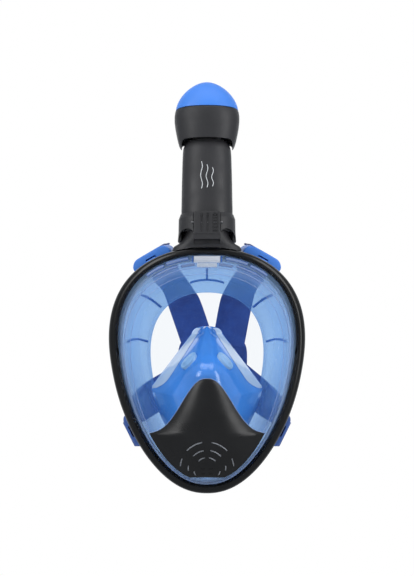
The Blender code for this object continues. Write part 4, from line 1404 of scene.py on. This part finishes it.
# The webbing's outline, in widths across and thicknesses out
BAND_SECTION = (
    (-0.5, -0.3), (-0.48, -0.5), (0.48, -0.5), (0.5, -0.3),
    (0.5, 0.3), (0.48, 0.5), (-0.48, 0.5), (-0.5, 0.3),
)
# The fold through a clip: metres out of the clip's middle, and back
FOLD = (
    (0.0072, 0.062), (0.0074, 0.05), (0.0079, 0.041), (0.0078, 0.0335), (0.005, 0.0298),
    (0.0005, 0.0294), (-0.0042, 0.0305), (-0.0056, 0.035), (-0.0048, 0.0405),
)
FOLD_LOWER = -0.0012
STRAP_STEPS = 40
STRAP_LAP = 0.005


def band_mesh(stations):
    """A webbing band from (middle, width direction, width) stations, with its length and width as UVs."""
    builder = bmesh.new()
    layer = builder.loops.layers.uv.new("length_width")
    rows = []
    travelled = 0.0
    for i, (middle, across, width) in enumerate(stations):
        ahead = stations[min(i + 1, len(stations) - 1)][0]
        behind = stations[max(i - 1, 0)][0]
        along = (ahead - behind).normalized()
        across = (across - along * across.dot(along)).normalized()
        out = along.cross(across)
        travelled += (middle - behind).length if i else 0.0
        row = []
        for a, b in BAND_SECTION:
            vert = builder.verts.new(middle + across * a * width + out * b * STRAP_THICKNESS)
            row.append((vert, (travelled, a * width)))
        rows.append(row)
    count = len(BAND_SECTION)
    faces = [[rows[0][k] for k in range(count)], [rows[-1][k] for k in reversed(range(count))]]
    for low, high in zip(rows, rows[1:]):
        for k in range(count):
            m = (k + 1) % count
            faces.append([low[k], low[m], high[m], high[k]])
    for corners in faces:
        face = builder.faces.new([vert for vert, _ in corners])
        for loop, (_, place) in zip(face.loops, corners):
            loop[layer].uv = place
    return builder


def make_strap(name, place, mats):
    """Webbing folded through a clip's slot, then round to the rear patch."""
    points, widths = strap_route(name, place)
    shift = FOLD_LOWER if name.startswith("lower") else 0.0
    stations = []
    for out, back in FOLD:
        middle = place @ Vector((0, out + shift * (out > 0), back))
        stations.append((middle, widths[0], STRAP_CLIP_WIDTH))
    for share in shares(STRAP_STEPS):
        grown = (STRAP_REAR_WIDTH - STRAP_CLIP_WIDTH) * smooth_between(share, 0.1, 0.6)
        stations.append((curve_point(points, share), curve_point(widths, share), STRAP_CLIP_WIDTH + grown))
    last, before = stations[-1], stations[-3]
    for i in (1, 2):
        onward = last[0] + (last[0] - before[0]).normalized() * STRAP_LAP * i
        stations.append((onward, last[1], last[2]))
    strap = object_from(band_mesh(stations), f"webbing_{name}", mats["strap_blue"])
    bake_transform(strap)
    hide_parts(f"strap_{name}")


def patch_point(angle, shrink, thick):
    across, up = superellipse(angle, PATCH_POWER)
    x = REAR_HALF_WIDTH * shrink * across
    z = REAR_HALF_HEIGHT * shrink * up
    return REAR_CENTRE + Vector((x, thick - REAR_CURVE * x * x, z))


PATCH_STEPS = 120
PATCH_SHARES = (0.02, 0.3, 0.6, 0.8, 0.9, 0.95)
PATCH_BACK = 0.0031
PATCH_BINDING = -0.0009
PATCH_EDGES = (0.0004, 0.0026)
STITCHES = 48
STITCH_SHARE = 0.87
STITCH_BACK = 0.0025
STITCH_RADIUS = 0.0003


def make_rear_patch(mats):
    """The soft patch behind the head, with a bound edge and a line of stitches."""
    builder = bmesh.new()
    layer = builder.loops.layers.uv.new("length_width")
    outline = [(share, 0.0) for share in PATCH_SHARES] + [(1.0, edge) for edge in PATCH_EDGES]
    for share in reversed(PATCH_SHARES):
        outline.append((share, PATCH_BACK + PATCH_BINDING * (share > 0.84)))
    rings = [[patch_point(angle, share, thick) for angle in turns(PATCH_STEPS)] for share, thick in outline]
    ring_mesh(rings, closed=False, builder=builder)
    for face in builder.faces:
        for loop in face.loops:
            loop[layer].uv = (loop.vert.co.x, loop.vert.co.z)
    patch = object_from(builder, "rear_patch", mats["strap_blue"])
    piece(patch, "mask", "strap_blue", "strap_rear_pad")
    stitches = []
    for i in range(STITCHES):
        angles = [math.pi * (2 * i + k / 4) / STITCHES for k in range(5)]
        path = [patch_point(angle, STITCH_SHARE, STITCH_BACK) for angle in angles]
        stitches.append(object_from(tube_mesh(path, STITCH_RADIUS, sides=6), "stitch"))
    piece(joined("patch_seam", stitches, mats["thread"]), "mask", "strap_blue")


# ---- stage and camera ----

CAMERA_HEIGHT = 0.078
CAMERA_DISTANCE = 1.4
VIEW_HEIGHT = 0.5472


def make_camera():
    camera = bpy.data.cameras.new("camera")
    camera.sensor_fit = "VERTICAL"
    camera.sensor_height = 36.0
    camera.lens = camera.sensor_height * CAMERA_DISTANCE / VIEW_HEIGHT
    obj = placed("camera", camera)
    obj.location = (0, RIM_Y - CAMERA_DISTANCE, CAMERA_HEIGHT)
    obj.rotation_euler = (math.pi / 2, 0, 0)
    bpy.context.scene.camera = obj


def camera_ray(tree):
    """1 for what the camera sees itself, 0 for light and reflections."""
    return add_node(tree, "ShaderNodeLightPath").outputs["Is Camera Ray"]


FLOOR_DARK = (0.86, 0.86, 0.86)
FLOOR_LIGHT = (0.9, 0.9, 0.9)


def make_floor():
    """A white studio sweep, lit evenly enough that the camera sees no horizon."""
    floor = block("floor", (-4, -4, CAD_LOW.z - 0.32), (4, 5, CAD_LOW.z - 0.3))
    material, tree, shader = new_material("floor_white")
    drift(tree, shader, 2.0, FLOOR_DARK, FLOOR_LIGHT)
    set_values(shader, {"Roughness": 0.7})
    bright = add_node(tree, "ShaderNodeEmission")
    mixed = mix_shaders(tree, camera_ray(tree), shader.outputs["BSDF"], bright.outputs["Emission"])
    tree.links.new(mixed, tree.nodes["Material Output"].inputs["Surface"])
    floor.data.materials.append(material)
    floor.visible_glossy = False


# Each light: its place, what it aims at, its width and height in metres, and its power in watts
SOFTBOXES = {
    "key_left": ((-0.75, -0.75, 0.55), (0, -0.03, 0.02), (0.45, 0.9), 6),
    "key_right": ((0.8, -0.6, 0.35), (0, -0.03, 0.0), (0.35, 1.0), 5),
    "top": ((0, -0.2, 1.1), (0, -0.05, 0), (0.9, 0.5), 3),
    "behind": ((0, 0.9, 0.3), (0, 0, 0.05), (1.4, 1.2), 5),
}
SKY_TINT = (0.9, 0.95, 1.0, 1)
SKY_STRENGTH = 0.5


def softbox(name, place, aim, size, power):
    light = bpy.data.lights.new(name, "AREA")
    light.shape = "RECTANGLE"
    light.size, light.size_y = size
    light.energy = power
    obj = placed(name, light)
    obj.location = place
    obj.rotation_euler = (Vector(aim) - Vector(place)).to_track_quat("-Z", "Y").to_euler()
    obj.visible_camera = False


def make_lights():
    for name, values in SOFTBOXES.items():
        softbox(name, *values)
    world = bpy.data.worlds.new("studio")
    bpy.context.scene.world = world
    world.use_nodes = True
    tree = world.node_tree
    shade = tree.nodes["Background"]
    set_values(shade, {"Color": SKY_TINT, "Strength": SKY_STRENGTH})
    white = add_node(tree, "ShaderNodeBackground")
    set_values(white, {"Color": (1, 1, 1, 1), "Strength": 1.0})
    mixed = mix_shaders(tree, camera_ray(tree), shade.outputs["Background"], white.outputs["Background"])
    tree.links.new(mixed, tree.nodes["World Output"].inputs["Surface"])
    bpy.context.scene.view_settings.view_transform = "Standard"


def finish_cad_nodes(mats):
    """CAD nodes whose shape is right keep it, with a better material."""
    slots = {row["node"]: row["material_slot"] for row in frame["record"]["subparts"]}
    for name, node in frame["nodes"].items():
        finish = "valve_pale" if name.startswith("inhale_seat") else slots[name]
        node.data.materials.clear()
        node.data.materials.append(mats[finish])


def main():
    mats = make_materials()
    finish_cad_nodes(mats)
    make_camera()
    make_floor()
    make_lights()
    for make in (
        make_front_frame, make_rear_frame, make_lens, make_skirt, make_chin_cover, make_nose_pocket,
        make_socket, make_tube, make_wave_mark, make_collar, make_latch, make_casing, make_cap,
    ):
        make(mats)
    for name, place in clip_places().items():
        make_clip(name, place, mats)
    for name, place in clip_places().items():
        make_strap(name, place, mats)
    make_rear_patch(mats)


main()
